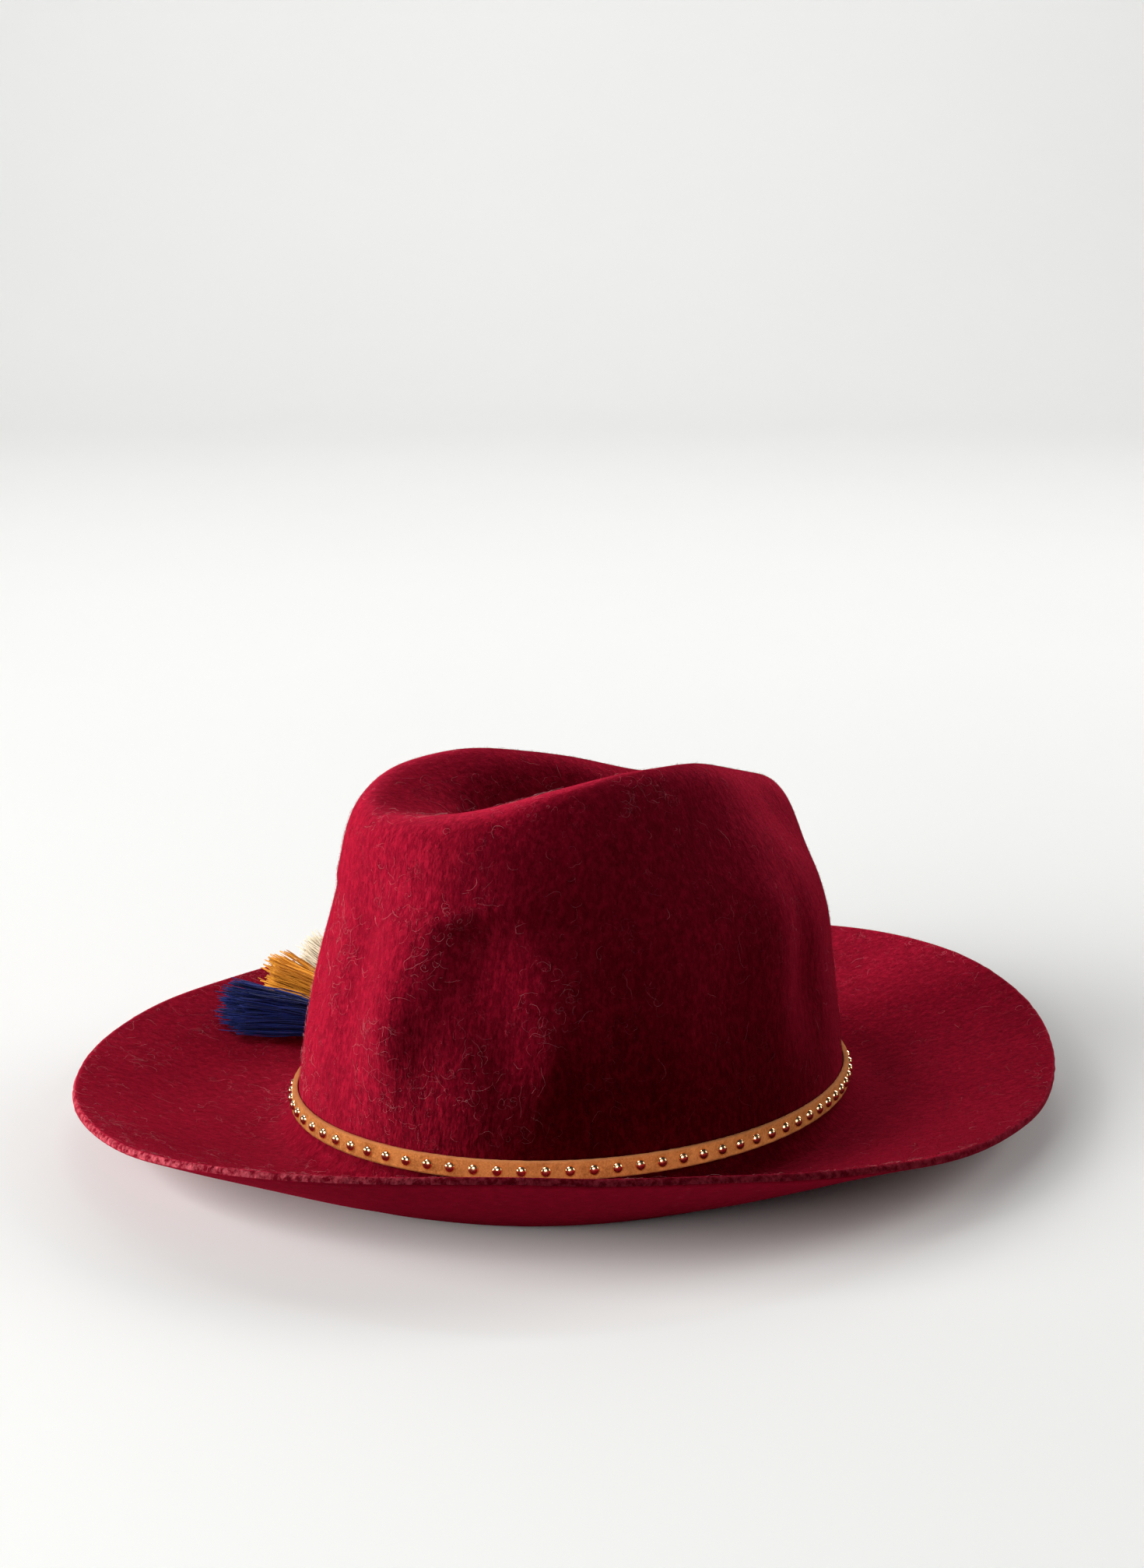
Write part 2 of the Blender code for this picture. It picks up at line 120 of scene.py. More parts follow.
# Rings of the brim, from the bend to the cut edge.
BRIM_SECTIONS = (
    # across, rise, rows
    (0.10, 0.00, 1),
    (0.16, 0.00, 2),
    (0.35, 0.17, 2),
    (0.56, 0.41, 2),
    (0.79, 0.71, 2),
    (1.00, 1.00, 1),
)
EDGE_WAVES = (
    # waves, along, across
    (1, -0.20, -0.23),
    (2, 0.08, 0.22),
    (3, 0.15, -0.07),
)

# Dents and ridges of the crown's wall: heading, place down the crown, both spreads, share of FOLD_DEPTH.
FOLDS = (
    (313.0, 3.2, 15.0, 0.9, 1.00),
    (47.0, 3.2, 15.0, 0.9, 0.85),
    (156.0, 4.6, 11.0, 0.9, 0.42),
    (177.0, 4.6, 7.0, 1.2, 0.60),
    (198.0, 3.7, 9.0, 0.9, -0.60),
    (191.0, 5.0, 7.0, 0.8, -0.75),
    (211.0, 4.4, 9.0, 0.9, 0.50),
    (202.0, 5.4, 6.0, 0.5, 0.30),
    (218.0, 5.3, 6.0, 0.6, 0.28),
    (230.0, 5.2, 6.0, 0.7, -0.42),
    (242.0, 5.0, 6.0, 0.9, 0.62),
    (254.0, 5.3, 7.0, 0.6, -0.36),
    (268.0, 4.8, 7.0, 0.9, 0.26),
    (281.0, 4.7, 6.0, 1.0, -0.32),
    (295.0, 4.7, 6.0, 0.9, 0.50),
    (100.0, 4.9, 14.0, 0.8, 0.25),
)
STRAP_PLACE = len(CROWN_SECTIONS)


def angles(count):
    """Even turns round the hat, from its front."""
    return np.arange(count) * 2.0 * math.pi / count


def unit(ways):
    """Each vector divided by its length."""
    return ways / np.maximum(np.linalg.norm(ways, axis=-1, keepdims=True), 1e-12)


def oval(turn, length, width, egg, forward):
    """Plan of a ring: an ellipse whose sides draw in towards the front, moved along X."""
    x = HEAD_LENGTH / 2 * (forward + length * np.cos(turn)) - CROWN_BACK
    y = HEAD_WIDTH / 2 * width * np.sin(turn) * (1 + egg * np.cos(turn))
    return x, y


def crown_ring(turn, length, width, egg, forward, height, nod=0.0, lean=0.0, saddle=0.0, twist=0.0):
    """A ring of the crown: its oval, at a height with one wave along, one across and two half as long."""
    x, y = oval(turn, length, width, egg, forward)
    waves = (
        height
        + nod * np.cos(turn)
        + lean * np.sin(turn)
        + saddle * np.cos(2 * turn)
        + twist * np.sin(2 * turn)
    )
    tilt = LINE_NOD * np.cos(turn) + LINE_LEAN * np.sin(turn)
    z = STRAP_LINE + CROWN_HEIGHT * waves - tilt * (1 - min(max(height, 0.0), 1.0))
    return np.stack([x, y, z], -1)


def strap_rings(turn):
    """Rings of the wall at the strap's upper and lower edge: the head oval, less and more the lean."""
    half = STRAP_HEIGHT / 2 / CROWN_HEIGHT
    top = crown_ring(turn, 1 - STRAP_LEAN, 1 - STRAP_LEAN, HEAD_EGG, 0.0, half)
    foot = crown_ring(turn, 1 + STRAP_LEAN, 1 + STRAP_LEAN, HEAD_EGG, 0.0, -half)
    return top, foot


def brim_ring(turn, across, rise):
    """A ring of the brim: a share of the way from head oval to edge oval, and of the way up to the edge."""
    edge_share = 1.0
    for waves, along, sideways in EDGE_WAVES:
        edge_share = edge_share + along * np.cos(waves * turn) + sideways * np.sin(waves * turn)
    foot_x, foot_y = oval(turn, 1.0, 1.0, HEAD_EGG, 0.0)
    edge_x = (HEAD_LENGTH / 2 + BRIM_FRONT) * np.cos(turn)
    edge_y = (HEAD_WIDTH / 2 + BRIM_SIDE) * np.sin(turn) * (1 + HEAD_EGG * np.cos(turn))
    x = foot_x + (edge_x - foot_x) * across
    y = foot_y + (edge_y - foot_y) * across
    z = FELT + (EDGE_HEIGHT * edge_share - FELT) * rise
    return np.stack([x, y, z], -1)


def turn_ring(turn):
    """The bend between crown and brim: a radius out from the foot, a little over halfway down."""
    _, foot = strap_rings(turn)
    sole = brim_ring(turn, BRIM_SECTIONS[0][0], 0.0)
    plan = foot[:, :2] + unit(sole[:, :2] - foot[:, :2]) * TURN_RADIUS
    return np.column_stack([plan, foot[:, 2] * TURN_ABOVE + sole[:, 2] * TURN_BELOW])


def smooth_rows(sections, rows):
    """Cubic Hermite curves from section to section, down every column, with slopes weighted by the gaps."""
    gaps = np.linalg.norm(np.diff(sections, axis=0), axis=-1).mean(1)[:, None, None]
    slopes = np.diff(sections, axis=0) / gaps
    tangents = np.empty_like(sections)
    tangents[0], tangents[-1] = slopes[0], slopes[-1]
    tangents[1:-1] = (slopes[:-1] * gaps[1:] + slopes[1:] * gaps[:-1]) / (gaps[1:] + gaps[:-1])
    places, points = [], []
    for i, count in enumerate(rows[: len(sections) - 1]):
        for step in range(count):
            u = step / count
            points.append(
                (2 * u**3 - 3 * u**2 + 1) * sections[i]
                + (u**3 - 2 * u**2 + u) * gaps[i] * tangents[i]
                + (3 * u**2 - 2 * u**3) * sections[i + 1]
                + (u**3 - u**2) * gaps[i] * tangents[i + 1]
            )
            places.append(i + u)
    points.append(sections[-1])
    places.append(len(sections) - 1.0)
    return np.array(points), np.array(places)


def soft_waves(points, length, seed):
    """Unevenness from -1 to 1: the mean of eight plane sine waves about length apart, in seeded ways."""
    draw = np.random.default_rng(seed)
    total = np.zeros(points.shape[:-1])
    for _ in range(8):
        way = draw.normal(size=3)
        way *= 2 * math.pi / (length * draw.uniform(0.7, 1.5) * np.linalg.norm(way))
        total += np.sin(points @ way + draw.uniform(0, 2 * math.pi))
    return total / 8


def grid_normals(grid):
    """Unit normals of a grid that closes round its columns: the cross product of its row and column steps."""
    down = np.gradient(grid, axis=0)
    around = (np.roll(grid, -1, 1) - np.roll(grid, 1, 1)) / 2
    return unit(np.cross(down, around))


def felt_skin(columns):
    """Outer skin: rings joined by cubic curves, pushed in and out by bell-shaped folds and waves."""
    turn = angles(columns)
    rings = [crown_ring(turn, *row[:9]) for row in CROWN_SECTIONS]
    rings += [*strap_rings(turn), turn_ring(turn)]
    rings += [brim_ring(turn, across, rise) for across, rise, _ in BRIM_SECTIONS]
    rows = [row[9] * CROWN_FINE for row in CROWN_SECTIONS] + list(STRAP_ROWS)
    rows += [row[2] * BRIM_FINE for row in BRIM_SECTIONS]
    skin, places = smooth_rows(np.array(rings), rows)
    inward = -np.stack([np.cos(turn), np.sin(turn)], -1)
    fade = np.clip(STRAP_PLACE - places, 0.0, 1.0) * np.clip(places - 1.0, 0.0, 1.0)
    push = np.zeros(skin.shape[:2])
    for heading, place, spread, reach, depth in FOLDS:
        off = np.degrees(np.angle(np.exp(1j * (turn - math.radians(heading)))))
        bell = np.exp(-(((places - place) / reach) ** 2))[:, None] * np.exp(-((off / spread) ** 2))[None]
        push += FOLD_DEPTH * depth * bell
    skin[:, :, :2] += (push * fade[:, None])[:, :, None] * inward[None]
    crown_share = np.clip(STRAP_PLACE - 0.4 - places, 0.0, 1.0)
    brim_share = np.clip(places - STRAP_PLACE - 4.0, 0.0, 1.0)
    unevenness = CROWN_SWELL * soft_waves(skin, CROWN_SWELL_LENGTH, 11) * crown_share[:, None]
    unevenness += BRIM_SWELL * soft_waves(skin, BRIM_SWELL_LENGTH, 12) * brim_share[:, None]
    skin += unevenness[:, :, None] * grid_normals(skin)
    skin[:, :, 2] = np.maximum(skin[:, :, 2], FELT)
    return skin, places


def ring_faces(rows, columns):
    """Quads of a grid that closes round its columns, as indices of vertices laid out row by row."""
    row = np.arange(rows - 1)[:, None] * columns
    here, beside = row + np.arange(columns), row + (np.arange(columns) + 1) % columns
    return np.stack([here, here + columns, beside + columns, beside], -1).reshape(-1, 4)


def fan(centre, ring, columns):
    """Triangles from the vertex centre to each side of a ring, whose first vertex is ring."""
    turns = np.arange(columns)
    return np.column_stack([np.full(columns, centre), ring + turns, ring + (turns + 1) % columns])


def add_piece(name, points, faces, finish, smooth=True):
    """A mesh object at the origin from an array of points and one or more arrays of faces."""
    mesh = bpy.data.meshes.new(name)
    mesh.from_pydata(points.tolist(), [], [face for group in faces for face in group.tolist()])
    mesh.materials.append(finish)
    if smooth:
        mesh.shade_smooth()
    piece = stand(name, mesh)
    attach(piece, "root")
    return piece


def shade_by(piece, name, values):
    """Keeps one number per vertex on the piece, which its material reads by name."""
    made = piece.data.attributes.new(name, "FLOAT", "POINT")
    made.data.foreach_set("value", np.ascontiguousarray(values, np.float32).ravel())


def put(tree, kind, inputs=(), **settings):
    """A new shader node. settings are its attributes, inputs its sockets' values or the sockets they read."""
    made = tree.nodes.new(kind)
    for key, value in settings.items():
        setattr(made, key, value)
    for key, value in dict(inputs).items():
        if isinstance(value, bpy.types.NodeSocket):
            tree.links.new(value, made.inputs[key])
        else:
            made.inputs[key].default_value = value
    return made


def noise(tree, where, scale, detail=3.0, roughness=0.55):
    """Value noise from 0 to 1 at the given coordinates."""
    wanted = {"Vector": where, "Scale": scale, "Detail": detail, "Roughness": roughness}
    return put(tree, "ShaderNodeTexNoise", wanted).outputs["Fac"]


def remap(tree, value, low, high, to_low=0.0, to_high=1.0):
    """The value stretched from low..high to to_low..to_high, and held within it."""
    wanted = {"Value": value, "From Min": low, "From Max": high, "To Min": to_low, "To Max": to_high}
    return put(tree, "ShaderNodeMapRange", wanted, clamp=True).outputs[0]


def combine(tree, operation, first, second):
    """Arithmetic on two values."""
    return put(tree, "ShaderNodeMath", {0: first, 1: second}, operation=operation).outputs[0]


def combine_ways(tree, operation, first, second):
    """Arithmetic on two vectors, or on a vector and a number that scales it."""
    wanted = {0: first, "Scale" if operation == "SCALE" else 1: second}
    return put(tree, "ShaderNodeVectorMath", wanted, operation=operation).outputs[0]


def tint(tree, share, first, second):
    """Two colours mixed by a share."""
    return put(tree, "ShaderNodeMix", {0: share, 6: first, 7: second}, data_type="RGBA").outputs[2]


def placed(tree, stretch=(1.0, 1.0, 1.0)):
    """Object coordinates, stretched."""
    where = put(tree, "ShaderNodeTexCoord").outputs["Object"]
    return put(tree, "ShaderNodeMapping", {"Vector": where, "Scale": stretch}).outputs["Vector"]


def new_group(name, inputs, outputs):
    """An empty shader group with float inputs and outputs, its nodes and its two ends."""
    group = bpy.data.node_groups.new(name, "ShaderNodeTree")
    for label, value in inputs.items():
        made = group.interface.new_socket(label, in_out="INPUT", socket_type="NodeSocketFloat")
        made.default_value = value
    for label in outputs:
        group.interface.new_socket(label, in_out="OUTPUT", socket_type="NodeSocketFloat")
    return group, group.nodes.new("NodeGroupInput"), group.nodes.new("NodeGroupOutput")


# Fibre grain, shared by the felt, the suede and the threads: clotted grain at two sizes, and its height.
grain_group, grain_in, grain_out = new_group(
    "fibre_grain", {"Scale": 1500.0, "Upright": 1.0}, ("Shade", "Height")
)
upright = put(grain_group, "ShaderNodeCombineXYZ", {0: 1.0, 1: 1.0, 2: grain_in.outputs["Upright"]})
where = put(grain_group, "ShaderNodeTexCoord").outputs["Object"]
where = combine_ways(grain_group, "MULTIPLY", where, upright.outputs[0])
fine = noise(grain_group, where, grain_in.outputs["Scale"], 4.0, 0.7)
clot_scale = combine(grain_group, "MULTIPLY", grain_in.outputs["Scale"], 0.22)
clot = noise(grain_group, where, clot_scale, 3.0, 0.6)
fine_share, clot_share = (
    combine(grain_group, "MULTIPLY", grains, share) for grains, share in ((fine, 0.55), (clot, 0.45))
)
shade = combine(grain_group, "ADD", fine_share, clot_share)
grain_group.links.new(remap(grain_group, shade, 0.32, 0.68), grain_out.inputs["Shade"])
grain_group.links.new(combine(grain_group, "ADD", shade, clot), grain_out.inputs["Height"])

# Curled fibres, shared by the felt and the suede: thin bent lines, broken up, from warped cell borders.
curl_group, curl_in, curl_out = new_group(
    "curled_fibres", {"Scale": 150.0, "Width": 0.02, "Cover": 0.5}, ("Mask",)
)
where = put(curl_group, "ShaderNodeTexCoord").outputs["Object"]
warp = put(curl_group, "ShaderNodeTexNoise", {"Vector": where, "Scale": 190.0, "Detail": 3.0})
warp = combine_ways(curl_group, "SUBTRACT", warp.outputs["Color"], (0.5, 0.5, 0.5))
where = combine_ways(curl_group, "ADD", where, combine_ways(curl_group, "SCALE", warp, 0.012))
border = put(
    curl_group, "ShaderNodeTexVoronoi", {"Vector": where, "Scale": curl_in.outputs["Scale"]},
    feature="DISTANCE_TO_EDGE",
)
line = remap(curl_group, border.outputs["Distance"], 0.0, curl_in.outputs["Width"], 1.0, 0.0)
cover = curl_in.outputs["Cover"]
pieces = remap(curl_group, noise(curl_group, where, 95.0, 2.0), cover, combine(curl_group, "ADD", cover, 0.06))
curl_group.links.new(combine(curl_group, "MULTIPLY", line, pieces), curl_out.inputs["Mask"])


def put_group(tree, group, inputs):
    """A shared effect placed in a material with its own values."""
    return put(tree, "ShaderNodeGroup", inputs, node_tree=group)


def new_finish(name, roughness, **sockets):
    """A material, its nodes and its Principled shader, with the given constant sockets set."""
    finish = bpy.data.materials.new(name)
    finish.use_nodes = True
    shader = finish.node_tree.nodes["Principled BSDF"]
    shader.inputs["Roughness"].default_value = roughness
    for label, value in sockets.items():
        shader.inputs[label.replace("_", " ")].default_value = value
    return finish, finish.node_tree, shader


def dress(tree, shader, colour, height, depth, strength):
    """Feeds a colour to the shader, and a height to its normal."""
    tree.links.new(colour, shader.inputs["Base Color"])
    made = put(tree, "ShaderNodeBump", {"Height": height, "Distance": depth, "Strength": strength})
    tree.links.new(made.outputs["Normal"], shader.inputs["Normal"])


def kept(tree, name):
    """The number that the piece keeps for each point."""
    return put(tree, "ShaderNodeAttribute", attribute_name=name).outputs["Fac"]


FELT_DEEP = (0.062, 0.0006, 0.0036, 1.0)
FELT_MID = (0.180, 0.0022, 0.0120, 1.0)
FELT_BRIGHT = (0.330, 0.0080, 0.0260, 1.0)
FELT_PALE = (0.560, 0.1500, 0.1800, 1.0)
FELT_RIM = (0.200, 0.0180, 0.0300, 1.0)
# The paler rim colour next is painted light, for the cut edge's side towards the low left lamps.
FELT_RIM_LIT = (0.360, 0.0680, 0.0880, 1.0)
FELT_SHEEN = (1.0, 0.045, 0.110, 1.0)
# The way towards the low left lamps, along which the cut edge is painted paler as painted light.
LIT_SIDE = (-0.76, 0.65, 0.0)


def wool(name, sheen):
    """Matt wool with a soft red sheen."""
    return new_finish(
        name, 0.95, Sheen_Weight=sheen, Sheen_Roughness=0.50, Sheen_Tint=FELT_SHEEN, Specular_IOR_Level=0.0
    )


# Brushed outside: streaks and patches in the grain, and a ragged cut edge with painted light: paler at the back
# left, the side towards the low left lamps.
felt_finish, tree, shader = wool("burgundy_wool_felt", 0.42)
grain = put_group(tree, grain_group, {"Scale": 1500.0, "Upright": 0.45})
curls = put_group(tree, curl_group, {"Scale": 160.0, "Width": 0.022, "Cover": 0.56})
streaks = noise(tree, placed(tree, (1.0, 1.0, 0.60)), 560.0, 3.0, 0.65)
patches = noise(tree, placed(tree), 38.0, 3.0, 0.5)
colour = tint(tree, grain.outputs["Shade"], FELT_DEEP, FELT_MID)
colour = tint(tree, remap(tree, streaks, 0.46, 0.64, 0.0, 0.42), colour, FELT_BRIGHT)
colour = tint(tree, remap(tree, patches, 0.30, 0.70, 0.0, 0.35), colour, FELT_DEEP)
cut = kept(tree, "cut_edge")
rag = remap(tree, noise(tree, placed(tree), 420.0, 4.0, 0.7), 0.42, 0.66)
where = put(tree, "ShaderNodeTexCoord").outputs["Object"]
# Painted light: the cut edge is painted paler the more it faces the low left lamps.
lit_side_and_tarnish = put(tree, "ShaderNodeVectorMath", {0: where, 1: LIT_SIDE}, operation="DOT_PRODUCT")
rim_lit = tint(tree, remap(tree, lit_side_and_tarnish.outputs["Value"], 0.02, 0.14), FELT_RIM, FELT_RIM_LIT)
rim_colour = tint(tree, rag, FELT_DEEP, rim_lit)
colour = tint(tree, cut, colour, rim_colour)
colour = tint(tree, combine(tree, "MULTIPLY", curls.outputs["Mask"], 0.14), colour, FELT_PALE)
height = combine(tree, "ADD", grain.outputs["Height"], combine(tree, "MULTIPLY", streaks, 0.25))
height = combine(tree, "ADD", height, combine(tree, "MULTIPLY", curls.outputs["Mask"], 0.5))
dress(tree, shader, colour, height, 0.00060, 0.85)

# Underside and inside, which aren't brushed: the same wool, darker and flatter.
bare_finish, tree, shader = wool("bare_wool_felt", 0.15)
grain = put_group(tree, grain_group, {"Scale": 1500.0, "Upright": 1.0})
curls = put_group(tree, curl_group, {"Scale": 160.0, "Width": 0.022, "Cover": 0.58})
colour = tint(tree, grain.outputs["Shade"], FELT_DEEP, FELT_MID)
colour = tint(tree, combine(tree, "MULTIPLY", curls.outputs["Mask"], 0.10), colour, FELT_PALE)
dress(tree, shader, colour, grain.outputs["Height"], 0.00030, 0.7)

# Outer skin, a rough roll over the cut edge, and the inner skin back up inside the crown.
outer, felt_places = felt_skin(FELT_COLUMNS)
outer_normals = grid_normals(outer)
inner = outer - FELT * outer_normals
inner[:, :, 2] = np.where(inner[:, :, 2] < FELT / 4, 0.0, inner[:, :, 2])
edge_out = unit(outer[-1] - outer[-2])
roll_share = np.array([0.10, 0.28, 0.50, 0.72, 0.90])
roll = outer[-1][None] + (inner[-1] - outer[-1])[None] * roll_share[:, None, None]
ragged = 0.00022 * soft_waves(roll, 0.0045, 21) + 0.00016 * soft_waves(roll, 0.0017, 22)
roll_bulge = EDGE_BULGE * (1 - np.abs(2 * roll_share - 1) ** 3)[:, None] + ragged
roll = roll + edge_out[None] * roll_bulge[:, :, None]
inner_rows = np.arange(len(outer) - 1, -1, -INNER_STEP)
felt_grid = np.concatenate([outer, roll, inner[inner_rows]])
felt_count = felt_grid.shape[0] * FELT_COLUMNS
felt_points = np.concatenate([felt_grid.reshape(-1, 3), [felt_grid[0].mean(0), felt_grid[-1].mean(0)]])
first_fan = fan(felt_count, 0, FELT_COLUMNS)
last_fan = fan(felt_count + 1, felt_count - FELT_COLUMNS, FELT_COLUMNS)[:, [0, 2, 1]]
felt_body = add_piece(
    "felt_hat", felt_points, [ring_faces(len(felt_grid), FELT_COLUMNS), first_fan, last_fan], felt_finish
)
cut_edge = np.zeros(len(felt_points))
cut_edge[len(outer) * FELT_COLUMNS : (len(outer) + len(roll_share)) * FELT_COLUMNS] = 1.0
shade_by(felt_body, "cut_edge", cut_edge)
brushed_rows = len(outer) + len(roll_share) - 1
quads = (len(felt_grid) - 1) * FELT_COLUMNS
finish_index = np.zeros(len(felt_body.data.polygons), np.int32)
finish_index[brushed_rows * FELT_COLUMNS : quads] = 1
finish_index[quads + FELT_COLUMNS :] = 1
felt_body.data.materials.append(bare_finish)
felt_body.data.polygons.foreach_set("material_index", finish_index)
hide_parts("felt_body")


# Nap
# The felt is brushed, so short wool hairs stand off its outside: down the crown, and outwards on the brim.
# Each is a thin closed spike rooted just under the skin, leaning with the brushing.
NAP_CROWN = 42000
NAP_BRIM = 34000
NAP_LENGTH = 0.0011
NAP_WIDTH = 0.00009
NAP_CORNERS = (0.0, 2.094, 4.189)


def evenly(points):
    """The same share everywhere."""
    return 1.0


def back_left_clouds(points):
    """Share of loose fibres: more on the hat's back and left, the side that faces the low left lamps, in clouds
    a few centimetres across.
    """
    back = np.clip(0.5 - points[..., 0] / 0.16 + points[..., 1] / 0.30, 0.18, 1.2)
    return back * np.clip(0.35 + 2.2 * soft_waves(points, 0.030, 42), 0.03, 2.0)


def on_felt(draw, count, first_place, last_place, patchy=evenly):
    """Random spots on the outer skin, by area and by patches: their row and column, with fractions."""
    rows = np.flatnonzero((felt_places[:-1] >= first_place) & (felt_places[1:] <= last_place))
    down = outer[1:][rows] - outer[:-1][rows]
    around = np.roll(outer[:-1][rows], -1, 1) - outer[:-1][rows]
    area = np.linalg.norm(np.cross(down, around), axis=-1) * patchy(outer[:-1][rows])
    area = area.ravel()
    cell = draw.choice(area.size, size=count, p=area / area.sum())
    return rows[cell // FELT_COLUMNS] + draw.random(count), cell % FELT_COLUMNS + draw.random(count)


def felt_at(row, column, what):
    """A grid of the outer skin read between its points, by shares of the four corners of the cell."""
    row = np.clip(row, 0, len(outer) - 1.001)
    r, c = np.floor(row).astype(int), np.floor(column).astype(int)
    u, v = (row - r)[..., None], (column - c)[..., None]
    c, d = c % FELT_COLUMNS, (c + 1) % FELT_COLUMNS
    upper = what[r, c] * (1 - v) + what[r, d] * v
    lower = what[r + 1, c] * (1 - v) + what[r + 1, d] * v
    return upper * (1 - u) + lower * u


felt_down = unit(np.gradient(outer, axis=0))


def add_nap(name, seed, count, first_place, last_place):
    """Spikes: three root points round the spot, and a tip out along the normal, the brushing and chance."""
    draw = np.random.default_rng(seed)
    row, column = on_felt(draw, count, first_place, last_place)
    spot, up, brushed = (felt_at(row, column, what) for what in (outer, outer_normals, felt_down))
    lean = up * draw.uniform(0.25, 0.75, (count, 1)) + brushed * draw.uniform(0.1, 0.9, (count, 1))
    lean += draw.normal(size=(count, 3)) * 0.38
    lean += up * np.maximum(0.15 - (lean * up).sum(1, keepdims=True), 0.0)
    lean = unit(lean)
    size = NAP_LENGTH * draw.uniform(0.45, 1.0, (count, 1)) ** 1.2
    side = unit(np.cross(lean, draw.normal(size=(count, 3))))
    over = np.cross(lean, side)
    root = spot - up * 0.00010
    half = NAP_WIDTH / 2
    corners = [root + side * half * math.cos(a) + over * half * math.sin(a) for a in NAP_CORNERS]
    points = np.stack([*corners, spot + lean * size], 1).reshape(-1, 3)
    base = np.arange(count)[:, None] * 4
    faces = [base + np.array(corner) for corner in ((0, 1, 3), (1, 2, 3), (2, 0, 3), (0, 2, 1))]
    nap = add_piece(name, points, faces, nap_finish, smooth=False)
    shade_by(nap, "lightness", np.repeat(draw.random(count), 4))


nap_finish, tree, shader = wool("wool_nap", 0.25)
lightness = kept(tree, "lightness")
patches = noise(tree, placed(tree), 38.0, 3.0, 0.5)
colour = tint(tree, remap(tree, lightness, 0.0, 0.9), FELT_MID, FELT_BRIGHT)
colour = tint(tree, remap(tree, patches, 0.30, 0.70, 0.0, 0.35), colour, FELT_DEEP)
colour = tint(tree, remap(tree, lightness, 0.84, 1.0, 0.0, 0.6), colour, FELT_PALE)
tree.links.new(colour, shader.inputs["Base Color"])
add_nap("crown_nap", 31, NAP_CROWN, 0.0, STRAP_PLACE - 0.05)
add_nap("brim_nap", 32, NAP_BRIM, STRAP_PLACE + 2.2, STRAP_PLACE + 8.0)


# Loose fibres
# Paler hairs that have worked out of the felt, and lie on it in curls of a few millimetres.
# Each is a thin closed tube that follows the skin and lifts off it a little in its middle.
FIBRES = 2900
FIBRE_STEPS = 10
FIBRE_RADIUS = 0.000024
FIBRES_ON_CROWN = 1681
FIBRES_ON_BRIM = 870
FIBRE_CURL = 0.28
FIBRE_JITTER = 0.36


def outwards(points, quads, faces):
    """The faces, turned round where the volume inside the quads comes out under 0 because they face inwards."""
    corners = points - points.mean(0)
    a, b, c, d = (corners[quads[:, i]] for i in range(4))
    volume = (np.cross(a, b) * c).sum() + (np.cross(a, c) * d).sum()
    return [group[:, ::-1] for group in faces] if volume < 0 else faces


def add_threads(name, paths, radii, sides, finish, shades):
    """Closed tubes along paths (tube, point, xyz): rings square to each path, joined by quads, flat ends."""
    count, steps = paths.shape[:2]
    radii = np.broadcast_to(radii, (count, steps))
    along = unit(np.gradient(paths, axis=1))
    chord = paths[:, -1] - paths[:, 0]
    steep = np.abs(chord[:, 2:3]) > 0.8 * np.linalg.norm(chord, axis=1, keepdims=True)
    rest = np.where(steep, np.array([[1.0, 0.0, 0.0]]), np.array([[0.0, 0.0, 1.0]]))
    side = unit(np.cross(along, rest[:, None, :]))
    over = np.cross(side, along)
    turn = angles(sides)[None, None, :, None]
    rings = paths[:, :, None] + radii[:, :, None, None] * (
        side[:, :, None] * np.cos(turn) + over[:, :, None] * np.sin(turn)
    )
    wall = ring_faces(steps, sides)
    start = np.arange(count)[:, None, None] * steps * sides
    caps = [np.arange(sides), (steps - 1) * sides + np.arange(sides)[::-1]]
    faces = [(wall[None] + start).reshape(-1, 4)]
    faces += [(cap[None] + start[:, 0]).reshape(-1, sides) for cap in caps]
    piece = add_piece(name, rings.reshape(-1, 3), outwards(rings[0].reshape(-1, 3), wall, faces), finish)
    shade_by(piece, "lightness", np.repeat(shades, len(piece.data.vertices) // len(shades)))
    return piece


draw = np.random.default_rng(41)
regions = (
    # fibres, first and last place on the felt, where they gather
    (FIBRES_ON_CROWN, 0.0, STRAP_PLACE - 0.1, back_left_clouds),
    (FIBRES_ON_BRIM, STRAP_PLACE + 2.4, STRAP_PLACE + 7.9, back_left_clouds),
    (FIBRES - FIBRES_ON_CROWN - FIBRES_ON_BRIM, STRAP_PLACE + 7.6, STRAP_PLACE + 8.0, evenly),
)
spots = [on_felt(draw, *region) for region in regions]
row, column = (np.concatenate(parts) for parts in zip(*spots))
step_down = np.linalg.norm(np.gradient(outer, axis=0), axis=-1)[:, :, None]
step_round = np.linalg.norm(np.roll(outer, -1, 1) - outer, axis=-1)[:, :, None]
length = draw.uniform(0.0030, 0.0130, FIBRES) * draw.uniform(0.4, 1.0, FIBRES)
heading = draw.uniform(0, 2 * math.pi, FIBRES)
curl = draw.normal(0.0, FIBRE_CURL, FIBRES)
fibre_paths = []
for step in range(FIBRE_STEPS):
    share = step / (FIBRE_STEPS - 1)
    lift = 0.00008 + 0.00055 * math.sin(math.pi * share) * draw.random(FIBRES)[:, None] * 0.5
    lift = lift + 0.00025 * math.sin(math.pi * share)
    fibre_paths.append(felt_at(row, column, outer) + felt_at(row, column, outer_normals) * lift)
    heading = heading + curl + draw.normal(0.0, FIBRE_JITTER, FIBRES)
    stride = length / FIBRE_STEPS
    row = row + np.cos(heading) * stride / felt_at(row, column, step_down)[:, 0]
    column = column + np.sin(heading) * stride / felt_at(row, column, step_round)[:, 0]
taper = np.sin(np.linspace(0.25, math.pi - 0.25, FIBRE_STEPS))[None] ** 0.5
fibre_finish, tree, shader = new_finish("pale_wool_fibre", 0.8, Sheen_Weight=0.15, Specular_IOR_Level=0.2)
